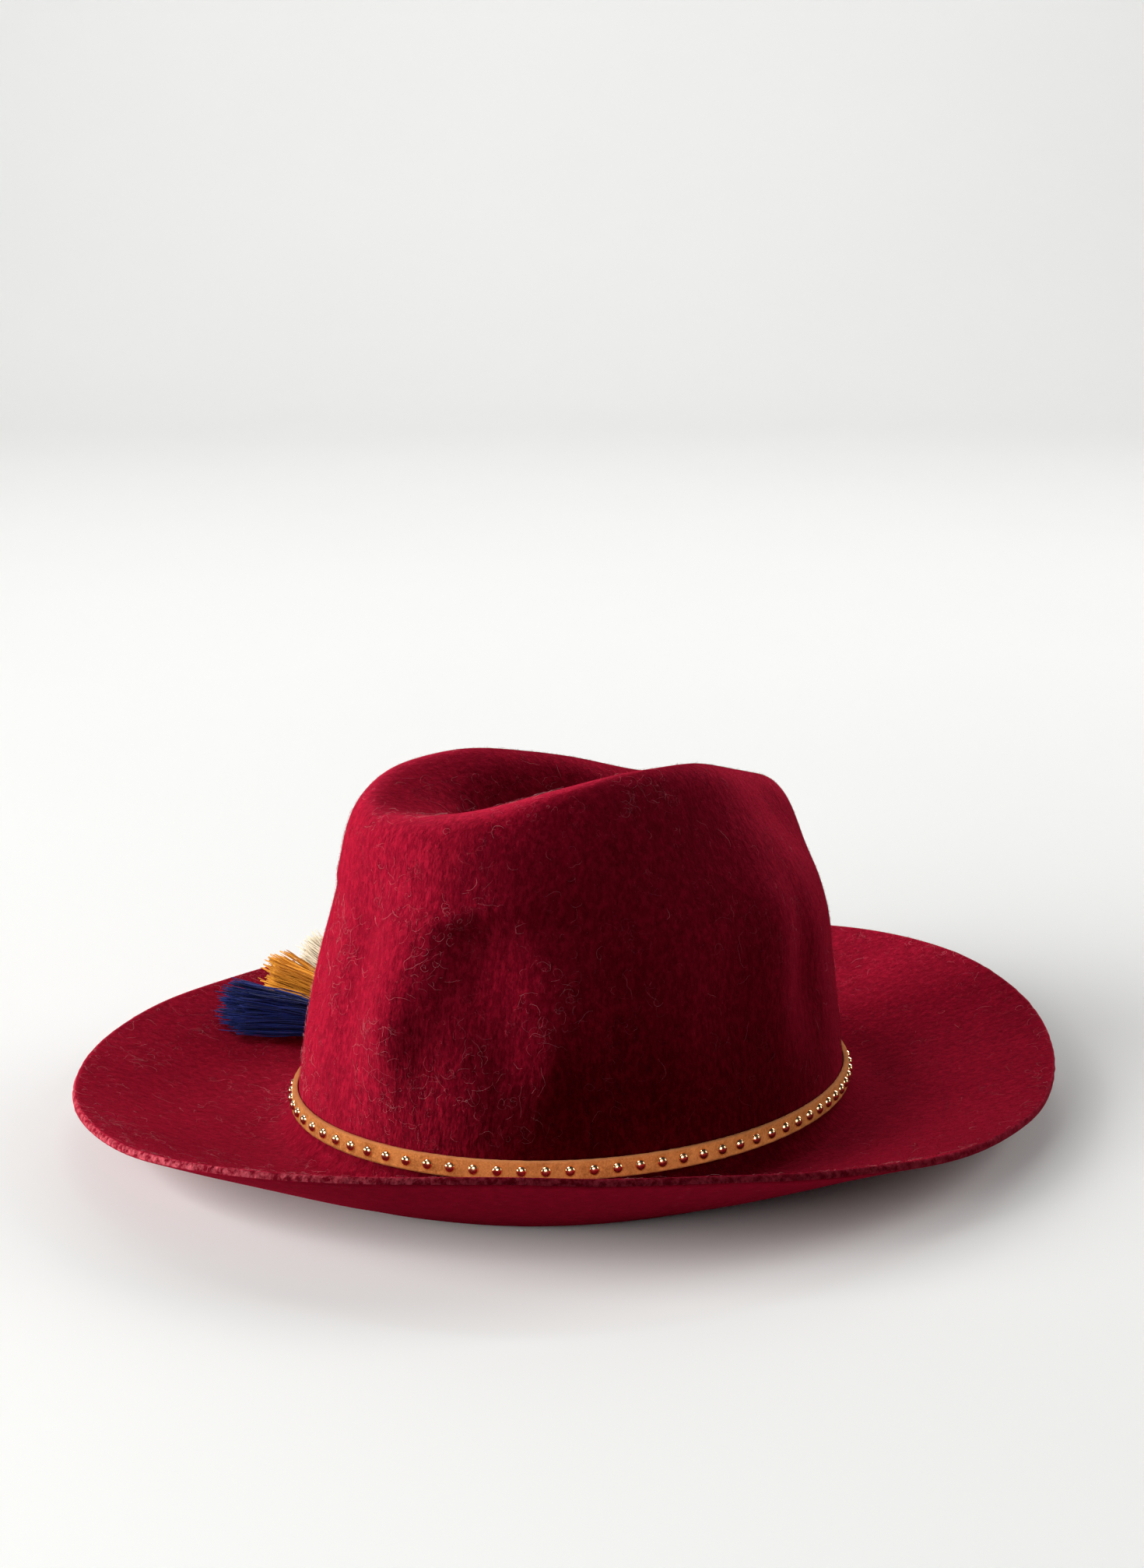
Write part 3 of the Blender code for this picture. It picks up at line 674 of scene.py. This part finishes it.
lightness = kept(tree, "lightness")
colour = tint(tree, lightness, (0.26, 0.022, 0.042, 1.0), (0.62, 0.25, 0.26, 1.0))
tree.links.new(colour, shader.inputs["Base Color"])
fibre_radii = FIBRE_RADIUS * taper * draw.uniform(0.7, 1.2, (FIBRES, 1))
fibre_shades = draw.random(FIBRES) ** 1.3
add_threads("loose_fibres", np.stack(fibre_paths, 1), fibre_radii, 3, fibre_finish, fibre_shades)


# Suede strap
# A flat lace of tan suede, 6.5 mm wide and 1.7 mm thick, tied round the crown's foot.
# Its edges are cut and a little ragged, and each stud draws it in slightly.
STRAP_THICKNESS = 0.0017
STRAP_GIRTH = 0.597
STRAP_CORNER = 0.00042
CLEARANCE = 0.0004
STUD_COUNT = 78
STUD_DIAMETER = 0.0037
STUD_RISE = 0.0014
STRAP_COLUMNS = STUD_COUNT * 9


def even_turns(count):
    """Turns that put count points at equal distances round the strap's upper edge."""
    fine = angles(2000)
    line, _ = strap_rings(fine)
    travelled = np.concatenate([[0.0], np.cumsum(np.linalg.norm(np.roll(line, -1, 0) - line, axis=1))])
    return np.interp(travelled[-1] * np.arange(count) / count, travelled, np.append(fine, 2 * math.pi))


def strap_axes(turn):
    """At each turn, the middle of the felt under the strap, the way up the wall and the way out from it."""
    top, foot = strap_rings(turn)
    ahead, _ = strap_rings(turn + 0.002)
    behind, _ = strap_rings(turn - 0.002)
    up = top - foot
    return (top + foot) / 2, unit(up), unit(np.cross(ahead - behind, up))


def strap_skin(columns):
    """Section of a flat lace with rounded corners, carried round the crown, ragged and dimpled by the studs."""
    middle, up, out = strap_axes(even_turns(columns))
    half_height, half_depth = STRAP_HEIGHT / 2, STRAP_THICKNESS / 2
    across = np.array([-1.0, -0.98, -0.80, -0.60, -0.38, -0.18, 0.0, 0.18, 0.38, 0.60, 0.80, 0.98, 1.0])
    drawn_in = STRAP_CORNER * (np.abs(across) < 0.99) * 0.15
    front = np.column_stack([across * (half_height - drawn_in), np.full(13, half_depth)])
    front[[0, -1], 1] -= STRAP_CORNER
    back = np.column_stack([across[::-1] * half_height, np.full(13, -half_depth)])
    back[[0, -1], 1] += STRAP_CORNER
    section = np.concatenate([front, [[half_height * 1.01, 0.0]], back, [[-half_height * 1.01, 0.0]]])
    places = (
        middle[None]
        + up[None] * section[:, 0][:, None, None]
        + out[None] * (section[:, 1] + CLEARANCE + half_depth)[:, None, None]
    )
    off_stud = np.abs((np.arange(columns) / columns * STUD_COUNT + 0.5) % 1.0 - 0.5) / STUD_COUNT
    off_middle = np.where(section[:, 1] > half_depth - 1e-6, section[:, 0], 1.0)
    from_stud = np.hypot((off_stud * STRAP_GIRTH)[None], off_middle[:, None])
    dimple = 0.00016 * np.exp(-((from_stud / 0.0024) ** 4))
    dimple = dimple - 0.00010 * np.exp(-(((from_stud - 0.0030) / 0.0009) ** 2))
    ragged = 0.00010 * soft_waves(places, 0.0030, 51) + 0.00007 * soft_waves(places, 0.0012, 52)
    edge = np.abs(section[:, 0]) > half_height * 0.9
    places = places - out[None] * dimple[:, :, None]
    places = places + up[None] * (ragged * edge[:, None] * np.sign(section[:, 0])[:, None])[:, :, None]
    return places, np.repeat(edge.astype(float), columns)


SUEDE_DARK = (0.270, 0.075, 0.016, 1.0)
SUEDE_LIGHT = (0.780, 0.305, 0.088, 1.0)
SUEDE_EDGE = (0.380, 0.140, 0.055, 1.0)
suede_finish, tree, shader = new_finish(
    "tan_suede", 0.92, Sheen_Weight=0.08, Sheen_Roughness=0.4, Sheen_Tint=(1.0, 0.60, 0.35, 1.0),
    Specular_IOR_Level=0.0,
)
grain = put_group(tree, grain_group, {"Scale": 1700.0, "Upright": 1.0})
curls = put_group(tree, curl_group, {"Scale": 420.0, "Width": 0.05, "Cover": 0.5})
patches = noise(tree, placed(tree), 120.0, 3.0, 0.5)
colour = tint(tree, grain.outputs["Shade"], SUEDE_DARK, SUEDE_LIGHT)
colour = tint(tree, remap(tree, patches, 0.35, 0.70, 0.0, 0.45), colour, SUEDE_LIGHT)
colour = tint(tree, combine(tree, "MULTIPLY", curls.outputs["Mask"], 0.30), colour, SUEDE_DARK)
cut = kept(tree, "cut_edge")
colour = tint(tree, combine(tree, "MULTIPLY", cut, 0.7), colour, SUEDE_EDGE)
dress(tree, shader, colour, grain.outputs["Height"], 0.00034, 0.9)

strap_places, strap_edge = strap_skin(STRAP_COLUMNS)
strap_points = strap_places.reshape(-1, 3)
strap_faces = ring_faces(len(strap_places) + 1, STRAP_COLUMNS) % len(strap_points)
strap = add_piece("suede_strap", strap_points, outwards(strap_points, strap_faces, [strap_faces]), suede_finish)
shade_by(strap, "cut_edge", strap_edge)
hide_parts("studded_band")


# Studs
# Brass domes, 3.7 mm across, pressed through the strap at even steps, with a thin rolled foot.
STUD_SIDES = 18
STUD_PROFILE = (
    # share of the radius, share of the rise
    (0.00, 1.00), (0.28, 0.96), (0.54, 0.84), (0.76, 0.63), (0.91, 0.36), (0.985, 0.12), (1.00, 0.00),
    (0.96, -0.25), (0.0, -0.25),
)


def stud_shape():
    """Dome: a profile of radius and height turned round its axis. All the studs are one array."""
    middle, up, out = strap_axes(even_turns(STUD_COUNT))
    seat = middle + out * (CLEARANCE + STRAP_THICKNESS)
    side = np.cross(up, out)
    profile = np.array(STUD_PROFILE)
    radius, rise = profile[:, 0] * STUD_DIAMETER / 2, profile[:, 1] * STUD_RISE
    turn = angles(STUD_SIDES)
    ring = side[:, None, None] * np.cos(turn)[None, None, :, None]
    ring = ring + up[:, None, None] * np.sin(turn)[None, None, :, None]
    rings = seat[:, None, None] + ring * radius[None, :, None, None]
    return rings + out[:, None, None] * rise[None, :, None, None]


STUD_GOLD = (0.880, 0.600, 0.330, 1.0)
STUD_TARNISH = (0.560, 0.330, 0.160, 1.0)
stud_finish, tree, shader = new_finish("stud_brass", 0.2, Metallic=1.0)
lit_side_and_tarnish = noise(tree, placed(tree), 700.0, 3.0, 0.6)
colour = tint(tree, remap(tree, lit_side_and_tarnish, 0.45, 0.75, 0.0, 0.6), STUD_GOLD, STUD_TARNISH)
tree.links.new(remap(tree, lit_side_and_tarnish, 0.3, 0.8, 0.14, 0.34), shader.inputs["Roughness"])
dress(tree, shader, colour, noise(tree, placed(tree), 500.0, 2.0), 0.0001, 0.25)

stud_rings = stud_shape()
tips = stud_rings[:, [0, -1]].mean(2)
walls = stud_rings[:, 1:-1]
stud_rows = walls.shape[1]
stud_size = stud_rows * STUD_SIDES + 2
stud_points = np.concatenate([walls.reshape(STUD_COUNT, -1, 3), tips], 1)
wall = ring_faces(stud_rows, STUD_SIDES)
cap = fan(stud_size - 2, 0, STUD_SIDES)
foot = fan(stud_size - 1, (stud_rows - 1) * STUD_SIDES, STUD_SIDES)[:, [0, 2, 1]]
start = np.arange(STUD_COUNT)[:, None, None] * stud_size
stud_faces = [
    (group[None] + start).reshape(-1, group.shape[1])
    for group in outwards(stud_points[0], wall, [wall, cap, foot])
]
studs = add_piece("studs", stud_points.reshape(-1, 3), stud_faces, stud_finish)


# Tassel knot
# The three cords are tied to the strap by a small wound knot of navy thread, in front of one stud.
KNOT_RADIUS = 0.0036
KNOT_HEADING = 88.0
KNOT_THREAD = 0.00050
KNOT_TURNS = 11
NAVY_DARK = (0.0012, 0.0020, 0.0120, 1.0)
NAVY_LIGHT = (0.0090, 0.0210, 0.1500, 1.0)


def knot_place():
    """Middle of the knot: in front of the stud nearest to its heading."""
    middle, _, out = strap_axes(even_turns(STUD_COUNT))
    heading = math.radians(KNOT_HEADING)
    stud = (middle[:, :2] @ np.array([math.cos(heading), math.sin(heading)])).argmax()
    return middle[stud] + out[stud] * (2 * CLEARANCE + STRAP_THICKNESS + STUD_RISE + KNOT_RADIUS)


def thread_finish(name, dark, light, sheen):
    """Dyed thread: its colour goes from dark to light by strand and by grain, with a soft sheen."""
    finish, tree, shader = new_finish(
        name, 0.62, Sheen_Weight=0.10, Sheen_Roughness=0.35, Sheen_Tint=sheen, Specular_IOR_Level=0.12
    )
    grain = put_group(tree, grain_group, {"Scale": 2200.0, "Upright": 1.0})
    strand = kept(tree, "lightness")
    share = combine(
        tree, "ADD", combine(tree, "MULTIPLY", strand, 0.75),
        combine(tree, "MULTIPLY", grain.outputs["Shade"], 0.25),
    )
    dress(tree, shader, tint(tree, share, dark, light), grain.outputs["Height"], 0.00012, 0.6)
    return finish


navy_finish = thread_finish("navy_thread", NAVY_DARK, NAVY_LIGHT, (0.45, 0.55, 1.0, 1.0))
knot = knot_place()
winding = np.linspace(0, 2 * math.pi * KNOT_TURNS, 30 * KNOT_TURNS)
swing = winding / KNOT_TURNS * 1.37
pole = np.stack([0.82 * np.cos(swing), 0.82 * np.sin(swing), np.full_like(swing, 0.57)], -1)
first_axis = unit(np.cross(pole, [0.0, 0.0, 1.0]))
second_axis = np.cross(pole, first_axis)
wound = unit(first_axis * np.cos(winding)[:, None] + second_axis * np.sin(winding)[:, None])
knot_path = knot + wound * (KNOT_RADIUS - KNOT_THREAD)
knot_piece = add_threads(
    "tassel_knot_thread", knot_path[None], KNOT_THREAD, 6, navy_finish, 0.5 + 0.3 * np.sin(winding * 3.0),
)
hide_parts("tassel_knot")


# Tassels
# Each is a bundle of cotton threads folded over a cord, wound at its neck, and fanned out over the brim.
# Navy lies nearest the hat's back, cream furthest forward, mustard between them.
TASSEL_LENGTH = 0.0690
TASSEL_SPREAD = 0.0078
HEAD_RADIUS = 0.0048
HEAD_STRETCH = 1.2
CORD_LENGTH = 0.0205
LOCK_WIDTH = 0.0044
LOCK_HEIGHT = 0.0048
FAN_HEADING = 123.0
LOCKS = (
    # across, layer, length
    (-1.00, 0, 0.95),
    (-0.36, 0, 1.00),
    (0.36, 0, 0.98),
    (1.00, 0, 0.93),
    (-0.66, 1, 0.92),
    (0.00, 1, 0.97),
    (0.66, 1, 0.90),
)
LOCK_GIRTH = ((0.00, 0.50), (0.22, 0.80), (0.50, 1.00), (0.88, 0.95), (1.00, 0.50))
LOCK_THREADS = 62
SHORTEST_TASSEL = 0.82
THREAD_STEPS = 13
THREAD_RADIUS = 0.00025
THREAD_UNEVEN = 0.036
STRAY_SHARE = 0.10
STRAY_PULL = 2.8
DRIFT_SIDE = 0.0009
DRIFT_UP = 0.0006
SWAY = 0.00042
NOD = 0.00034
HEAD_THREADS = 54
CORE_ROWS = 12
CORE_COLUMNS = 20
NECK_LENGTH = 0.0030
NECK_TURNS = 7
CORD_PLY = 0.00050
CORD_TWISTS = 3.5
CORD_STEPS = 34


def fan_step(shortest):
    """Turn between tassels that keeps them clear: twice the arcsine of their widest half over its reach."""
    shares = [(HEAD_RADIUS + CLEARANCE) / CORD_LENGTH]
    for along, girth in LOCK_GIRTH:
        reach = CORD_LENGTH + (shortest - CORD_LENGTH) * along
        shares.append((TASSEL_SPREAD * (0.16 + 0.84 * along) + LOCK_WIDTH * girth + CLEARANCE) / reach)
    return 2 * math.asin(max(shares))


def brim_height(plan):
    """Height of the brim's upper skin at each point of plan, from the nearest points of the skin."""
    points = outer[felt_places >= STRAP_PLACE + 2][::2, ::2].reshape(-1, 3)
    away = np.linalg.norm(plan[:, None, :] - points[None, :, :2], axis=-1)
    near = np.argpartition(away, 5, axis=1)[:, :5]
    weight = 1 / (np.take_along_axis(away, near, 1) + 1e-4) ** 2
    return (points[near, 2] * weight).sum(1) / weight.sum(1)


def add_tassel(name, seed, turn, share, finish):
    """Threads run in seven overlapping locks: an offset in a lock's oval section, plus drift and wobble."""
    draw = np.random.default_rng(seed)
    heading = math.radians(FAN_HEADING) + turn * fan_step(SHORTEST_TASSEL * TASSEL_LENGTH)
    way = np.array([math.cos(heading), math.sin(heading), 0.0])
    side = np.array([-way[1], way[0], 0.0])
    up = np.array([0.0, 0.0, 1.0])
    head = knot + way * CORD_LENGTH
    head[2] = brim_height(head[None, :2])[0] + HEAD_RADIUS + 2 * CLEARANCE
    neck = head + way * HEAD_RADIUS * HEAD_STRETCH * 0.80
    total = TASSEL_LENGTH * share

    # Skirt: each thread's own place in its lock, its own length, drift and wobble.
    paths, shades = [], []
    for across, layer, lock_share in LOCKS:
        reach = (total - CORD_LENGTH) * lock_share
        count = LOCK_THREADS
        rho, phi = np.sqrt(draw.random(count)) * 0.94, draw.uniform(0, 2 * math.pi, count)
        own = 1 + draw.normal(0, THREAD_UNEVEN, count)
        own[draw.random(count) < 0.04] += 0.07
        along = np.linspace(0.09, 1.0, THREAD_STEPS)
        girth = np.interp(along, *np.array(LOCK_GIRTH).T)
        girth[along > 0.88] = 0.95
        spread = TASSEL_SPREAD * (0.16 + 0.84 * along)
        centre = knot[None] + way * (CORD_LENGTH + reach * along)[:, None] + side * (across * spread)[:, None]
        edges = [centre[:, :2] + side[:2] * (LOCK_WIDTH * girth * k)[:, None] for k in (-1.0, 0.0, 1.0)]
        ground = np.max([brim_height(edge) for edge in edges], axis=0)
        lift = 2 * CLEARANCE + LOCK_HEIGHT * girth + layer * 1.5 * LOCK_HEIGHT * (0.3 + 0.7 * along)
        blend = np.clip(along / 0.35, 0.0, 1.0)
        level = (head[2] + (layer - 0.5) * LOCK_HEIGHT * 0.5) * (1 - blend) + (ground + lift) * blend
        stray = np.where(draw.random(count) < STRAY_SHARE, STRAY_PULL, 1.0)
        drift_side = draw.normal(0, DRIFT_SIDE, count) * stray
        drift_up = draw.normal(0, DRIFT_UP, count) * stray
        wobble = draw.uniform(0, 2 * math.pi, (2, count))
        pitch = draw.uniform(1.5, 4.0, (2, count))
        sway = SWAY * np.sin(pitch[0][:, None] * along[None] * math.pi + wobble[0][:, None])
        nod = NOD * np.sin(pitch[1][:, None] * along[None] * math.pi + wobble[1][:, None])
        sideways = (rho * np.cos(phi))[:, None] * LOCK_WIDTH * girth[None]
        sideways = sideways + drift_side[:, None] * along[None] ** 2 + sway + (across * spread)[None]
        upward = (rho * np.sin(phi))[:, None] * LOCK_HEIGHT * girth[None]
        upward = upward + drift_up[:, None] * along[None] ** 2 + nod + (level - head[2])[None]
        gather = np.clip(along / 0.36, 0.0, 1.0)
        gather = (gather**2 * (3 - 2 * gather))[None]
        near_side = 0.0030 * (0.75 * across + 0.35 * rho * np.cos(phi))[:, None]
        near_up = 0.0026 * (0.8 * (layer - 0.4) + 0.5 * rho * np.sin(phi))[:, None]
        sideways = near_side * (1 - gather) + sideways * gather
        upward = near_up * (1 - gather) + upward * gather
        forward = CORD_LENGTH + reach * along[None] * own[:, None]
        level_now = head[2] + upward
        floor = np.maximum(ground[None], 0.0) + THREAD_RADIUS + CLEARANCE
        level_now = np.where(along[None] > 0.2, np.maximum(level_now, floor), level_now)
        plan = knot[None, None, :2] + way[:2] * forward[:, :, None] + side[:2] * sideways[:, :, None]
        paths.append(np.concatenate([plan, level_now[:, :, None]], -1))
        shades.append(draw.random(count))
    paths = np.concatenate(paths)
    radii = np.full(paths.shape[:2], THREAD_RADIUS) * draw.uniform(0.75, 1.15, (len(paths), 1))
    radii[:, -1] *= 0.7
    skirt = add_threads(name, paths, radii, 5, finish, np.concatenate(shades))
    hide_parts(name.replace("_threads", ""))

    # Head: threads laid from the cord over an oval ball to the neck.
    theta = np.radians(np.linspace(10.0, 146.0, THREAD_STEPS))
    phi = angles(HEAD_THREADS) + draw.normal(0, 0.02, HEAD_THREADS)
    ball = HEAD_RADIUS - THREAD_RADIUS
    rim = side * np.cos(phi)[:, None] + up * np.sin(phi)[:, None]
    over_ball = head - way * (ball * HEAD_STRETCH * np.cos(theta))[None, :, None]
    over_ball = over_ball + rim[:, None] * (ball * np.sin(theta))[None, :, None]
    add_threads(name + "_head", over_ball, THREAD_RADIUS * 1.25, 5, finish, draw.random(HEAD_THREADS))

    # Core of the head, so that nothing shows through between its threads. It is coloured dark, painted shade
    # for the depth between them.
    ring_turn = angles(CORE_COLUMNS)
    core_theta = np.radians(np.linspace(6.0, 174.0, CORE_ROWS))
    core_ball = ball * 0.95
    core = head - way * (core_ball * HEAD_STRETCH * np.cos(core_theta))[:, None, None]
    core_rim = side * np.cos(ring_turn)[:, None] + up * np.sin(ring_turn)[:, None]
    core = core + core_rim[None] * (core_ball * np.sin(core_theta))[:, None, None]
    core_points = core.reshape(-1, 3)
    core_faces = ring_faces(CORE_ROWS, CORE_COLUMNS)
    end = np.arange(CORE_COLUMNS)
    ends = [end[None], (end[::-1] + (CORE_ROWS - 1) * CORE_COLUMNS)[None]]
    core_faces = outwards(core_points, core_faces, [core_faces, *ends])
    heart = add_piece(name + "_core", core_points, core_faces, finish)
    # Low lightness: painted shade deep inside the head.
    shade_by(heart, "lightness", np.full(len(core_points), 0.2))

    # Neck winding: a coil round an oval. Cord: two plies twisted round each other, from knot to head.
    coil = np.linspace(0, 2 * math.pi * NECK_TURNS, NECK_TURNS * 22)
    coil_path = neck + way * ((coil / coil[-1] - 0.5) * NECK_LENGTH)[:, None]
    coil_path = coil_path + side * (0.0038 * np.cos(coil))[:, None] + up * (0.0034 * np.sin(coil))[:, None]
    add_threads(name + "_winding", coil_path[None], 0.00026, 5, finish, [0.65])
    line = unit(head - knot)
    across_line = np.cross(line, side)
    travel = np.linspace(KNOT_RADIUS * 0.8, np.linalg.norm(head - knot) - HEAD_RADIUS, CORD_STEPS)
    twist = np.linspace(0, 2 * math.pi * CORD_TWISTS, CORD_STEPS)
    plies = [
        knot + line * travel[:, None] + CORD_PLY * (
            side * np.cos(twist + shift)[:, None] + across_line * np.sin(twist + shift)[:, None]
        )
        for shift in (0.0, math.pi)
    ]
    add_threads(name + "_cord", np.array(plies), CORD_PLY, 7, finish, [0.45, 0.7])


mustard_finish = thread_finish(
    "mustard_thread", (0.300, 0.095, 0.007, 1.0), (0.860, 0.380, 0.035, 1.0), (1.0, 0.75, 0.4, 1.0)
)
cream_finish = thread_finish(
    "cream_thread", (0.560, 0.470, 0.320, 1.0), (0.880, 0.800, 0.640, 1.0), (1.0, 0.95, 0.85, 1.0)
)
add_tassel("tassel_navy_threads", 61, 1, 1.00, navy_finish)
add_tassel("tassel_mustard_threads", 62, 0, 0.82, mustard_finish)
add_tassel("tassel_cream_threads", 63, -1, 0.84, cream_finish)


# Floor
# A plain white studio sweep: flat under the hat, and curving up into a wall far behind it.
SWEEP_WIDTH = 14.0
SWEEP_NEAR = -3.0
SWEEP_FAR = 2.2
SWEEP_BEND = 1.6
SWEEP_TOP = 4.5
SWEEP_COLUMNS = 9
profile_flat = np.column_stack([np.linspace(SWEEP_NEAR, SWEEP_FAR, 12), np.zeros(12)])
bend = np.linspace(0, math.pi / 2, 25)[1:]
profile_bend = np.column_stack([SWEEP_FAR + SWEEP_BEND * np.sin(bend), SWEEP_BEND * (1 - np.cos(bend))])
profile_wall = np.array([[SWEEP_FAR + SWEEP_BEND, SWEEP_TOP]])
profile = np.concatenate([profile_flat, profile_bend, profile_wall])
view_way = np.array([CAMERA_WAY[0], CAMERA_WAY[1]]) / math.hypot(CAMERA_WAY[0], CAMERA_WAY[1])
view_side = np.array([view_way[1], -view_way[0]])
across = np.linspace(-SWEEP_WIDTH / 2, SWEEP_WIDTH / 2, SWEEP_COLUMNS)
sweep_plan = profile[:, None, 0:1] * view_way + across[None, :, None] * view_side
sweep_rise = np.repeat(profile[:, None, 1:2], SWEEP_COLUMNS, 1)
sweep_points = np.concatenate([sweep_plan, sweep_rise], -1).reshape(-1, 3)
first = np.arange(len(profile) - 1)[:, None] * SWEEP_COLUMNS + np.arange(SWEEP_COLUMNS - 1)[None]
sweep_faces = np.stack([first, first + 1, first + SWEEP_COLUMNS + 1, first + SWEEP_COLUMNS], -1).reshape(-1, 4)
sweep_mesh = bpy.data.meshes.new("studio_sweep")
sweep_mesh.from_pydata(sweep_points.tolist(), [], sweep_faces.tolist())
sweep_mesh.shade_smooth()
paper, tree, shader = new_finish("white_paper", 0.85, Specular_IOR_Level=0.1)
mottle = noise(tree, placed(tree), 3.0, 2.0)
tree.links.new(
    tint(tree, mottle, (0.905, 0.905, 0.895, 1.0), (0.925, 0.925, 0.915, 1.0)), shader.inputs["Base Color"]
)
sweep_mesh.materials.append(paper)
sweep = stand("studio_sweep", sweep_mesh)


# Light
# Low lamps close on the left rake over the nap, and softer ones fill in from above, behind and the right.
# One in front lights the strap, and the floor and wall have their own.
SUN_WHITE = (1.0, 0.99, 0.97)
FILL_WHITE = (1.0, 0.99, 0.98)
FLOOR_WHITE = (1.0, 1.0, 0.99)
WALL_WHITE = (1.0, 1.0, 1.0)
HAT_AIM = (0.0, 0.0, 0.05)
WALL_AIM = (view_way[0] * 3.6, view_way[1] * 3.6, 0.9)


def add_lamp(name, heading, height, distance, size, power, colour, lit, aim=HAT_AIM):
    """A square soft lamp: degrees round from the camera over the picture's right, and degrees up."""
    turn = math.radians(heading) + math.atan2(-view_way[1], -view_way[0])
    place = Vector((math.cos(turn), math.sin(turn), 0.0)) * distance * math.cos(math.radians(height))
    place.z = distance * math.sin(math.radians(height))
    lamp_data = bpy.data.lights.new(name, "AREA")
    lamp_data.shape = "SQUARE"
    lamp_data.size = size
    lamp_data.energy = power
    lamp_data.color = colour
    lamp = stand(name, lamp_data, place, Vector(aim) - place)
    lamp.light_linking.receiver_collection = lit


def lit_group(name, *pieces):
    """A collection of the pieces that a lamp lights."""
    group = bpy.data.collections.new(name)
    for piece in pieces:
        group.objects.link(piece)
    return group


felt_pieces = [bpy.data.objects[name] for name in ("felt_hat", "crown_nap", "brim_nap", "loose_fibres")]
trim_pieces = [
    piece for piece in bpy.context.scene.objects
    if piece.type == "MESH" and piece != sweep and piece not in felt_pieces
]
floor_only = lit_group("floor_only", sweep)
felt_only = lit_group("felt_only", *felt_pieces)
trim_only = lit_group("trim_only", *trim_pieces)
hat_only = lit_group("hat_only", *felt_pieces, *trim_pieces)
add_lamp("window_lamp", -93.0, 10.0, 0.8, 0.25, 2.8, SUN_WHITE, hat_only)
add_lamp("felt_lamp", -93.0, 10.0, 0.8, 0.25, 12.6, SUN_WHITE, felt_only)
add_lamp("left_front_lamp", -78.0, 12.0, 2.1, 0.7, 4.0, FILL_WHITE, hat_only)
add_lamp("trim_lamp", -5.0, 30.0, 2.2, 1.2, 34.0, SUN_WHITE, trim_only)
add_lamp("back_lamp", 150.0, 20.0, 1.5, 0.6, 11.0, FILL_WHITE, hat_only)
add_lamp("left_high_lamp", -90.0, 64.0, 2.1, 0.6, 28.0, FILL_WHITE, hat_only)
add_lamp("back_left_lamp", -172.0, 45.0, 1.5, 0.6, 6.0, FILL_WHITE, hat_only)
add_lamp("right_lamp", 94.0, 22.0, 2.1, 0.8, 6.0, FILL_WHITE, hat_only)
add_lamp("floor_lamp_front", -38.0, 26.0, 2.4, 1.4, 37.0, FLOOR_WHITE, floor_only)
add_lamp("floor_lamp_left", -66.0, 24.0, 2.4, 1.4, 54.0, FLOOR_WHITE, floor_only)
add_lamp("floor_lamp_right", 98.0, 30.0, 2.4, 1.4, 22.0, FLOOR_WHITE, floor_only)
add_lamp("wall_lamp_left", -150.0, 60.0, 2.8, 2.4, 27.0, WALL_WHITE, floor_only, WALL_AIM)
add_lamp("wall_lamp_right", 150.0, 60.0, 2.8, 2.4, 26.0, WALL_WHITE, floor_only, WALL_AIM)
world = bpy.data.worlds.new("pale_room")
world.use_nodes = True
room = world.node_tree.nodes["Background"].inputs
room["Color"].default_value = (1.0, 1.0, 1.0, 1.0)
room["Strength"].default_value = 0.03
bpy.context.scene.world = world
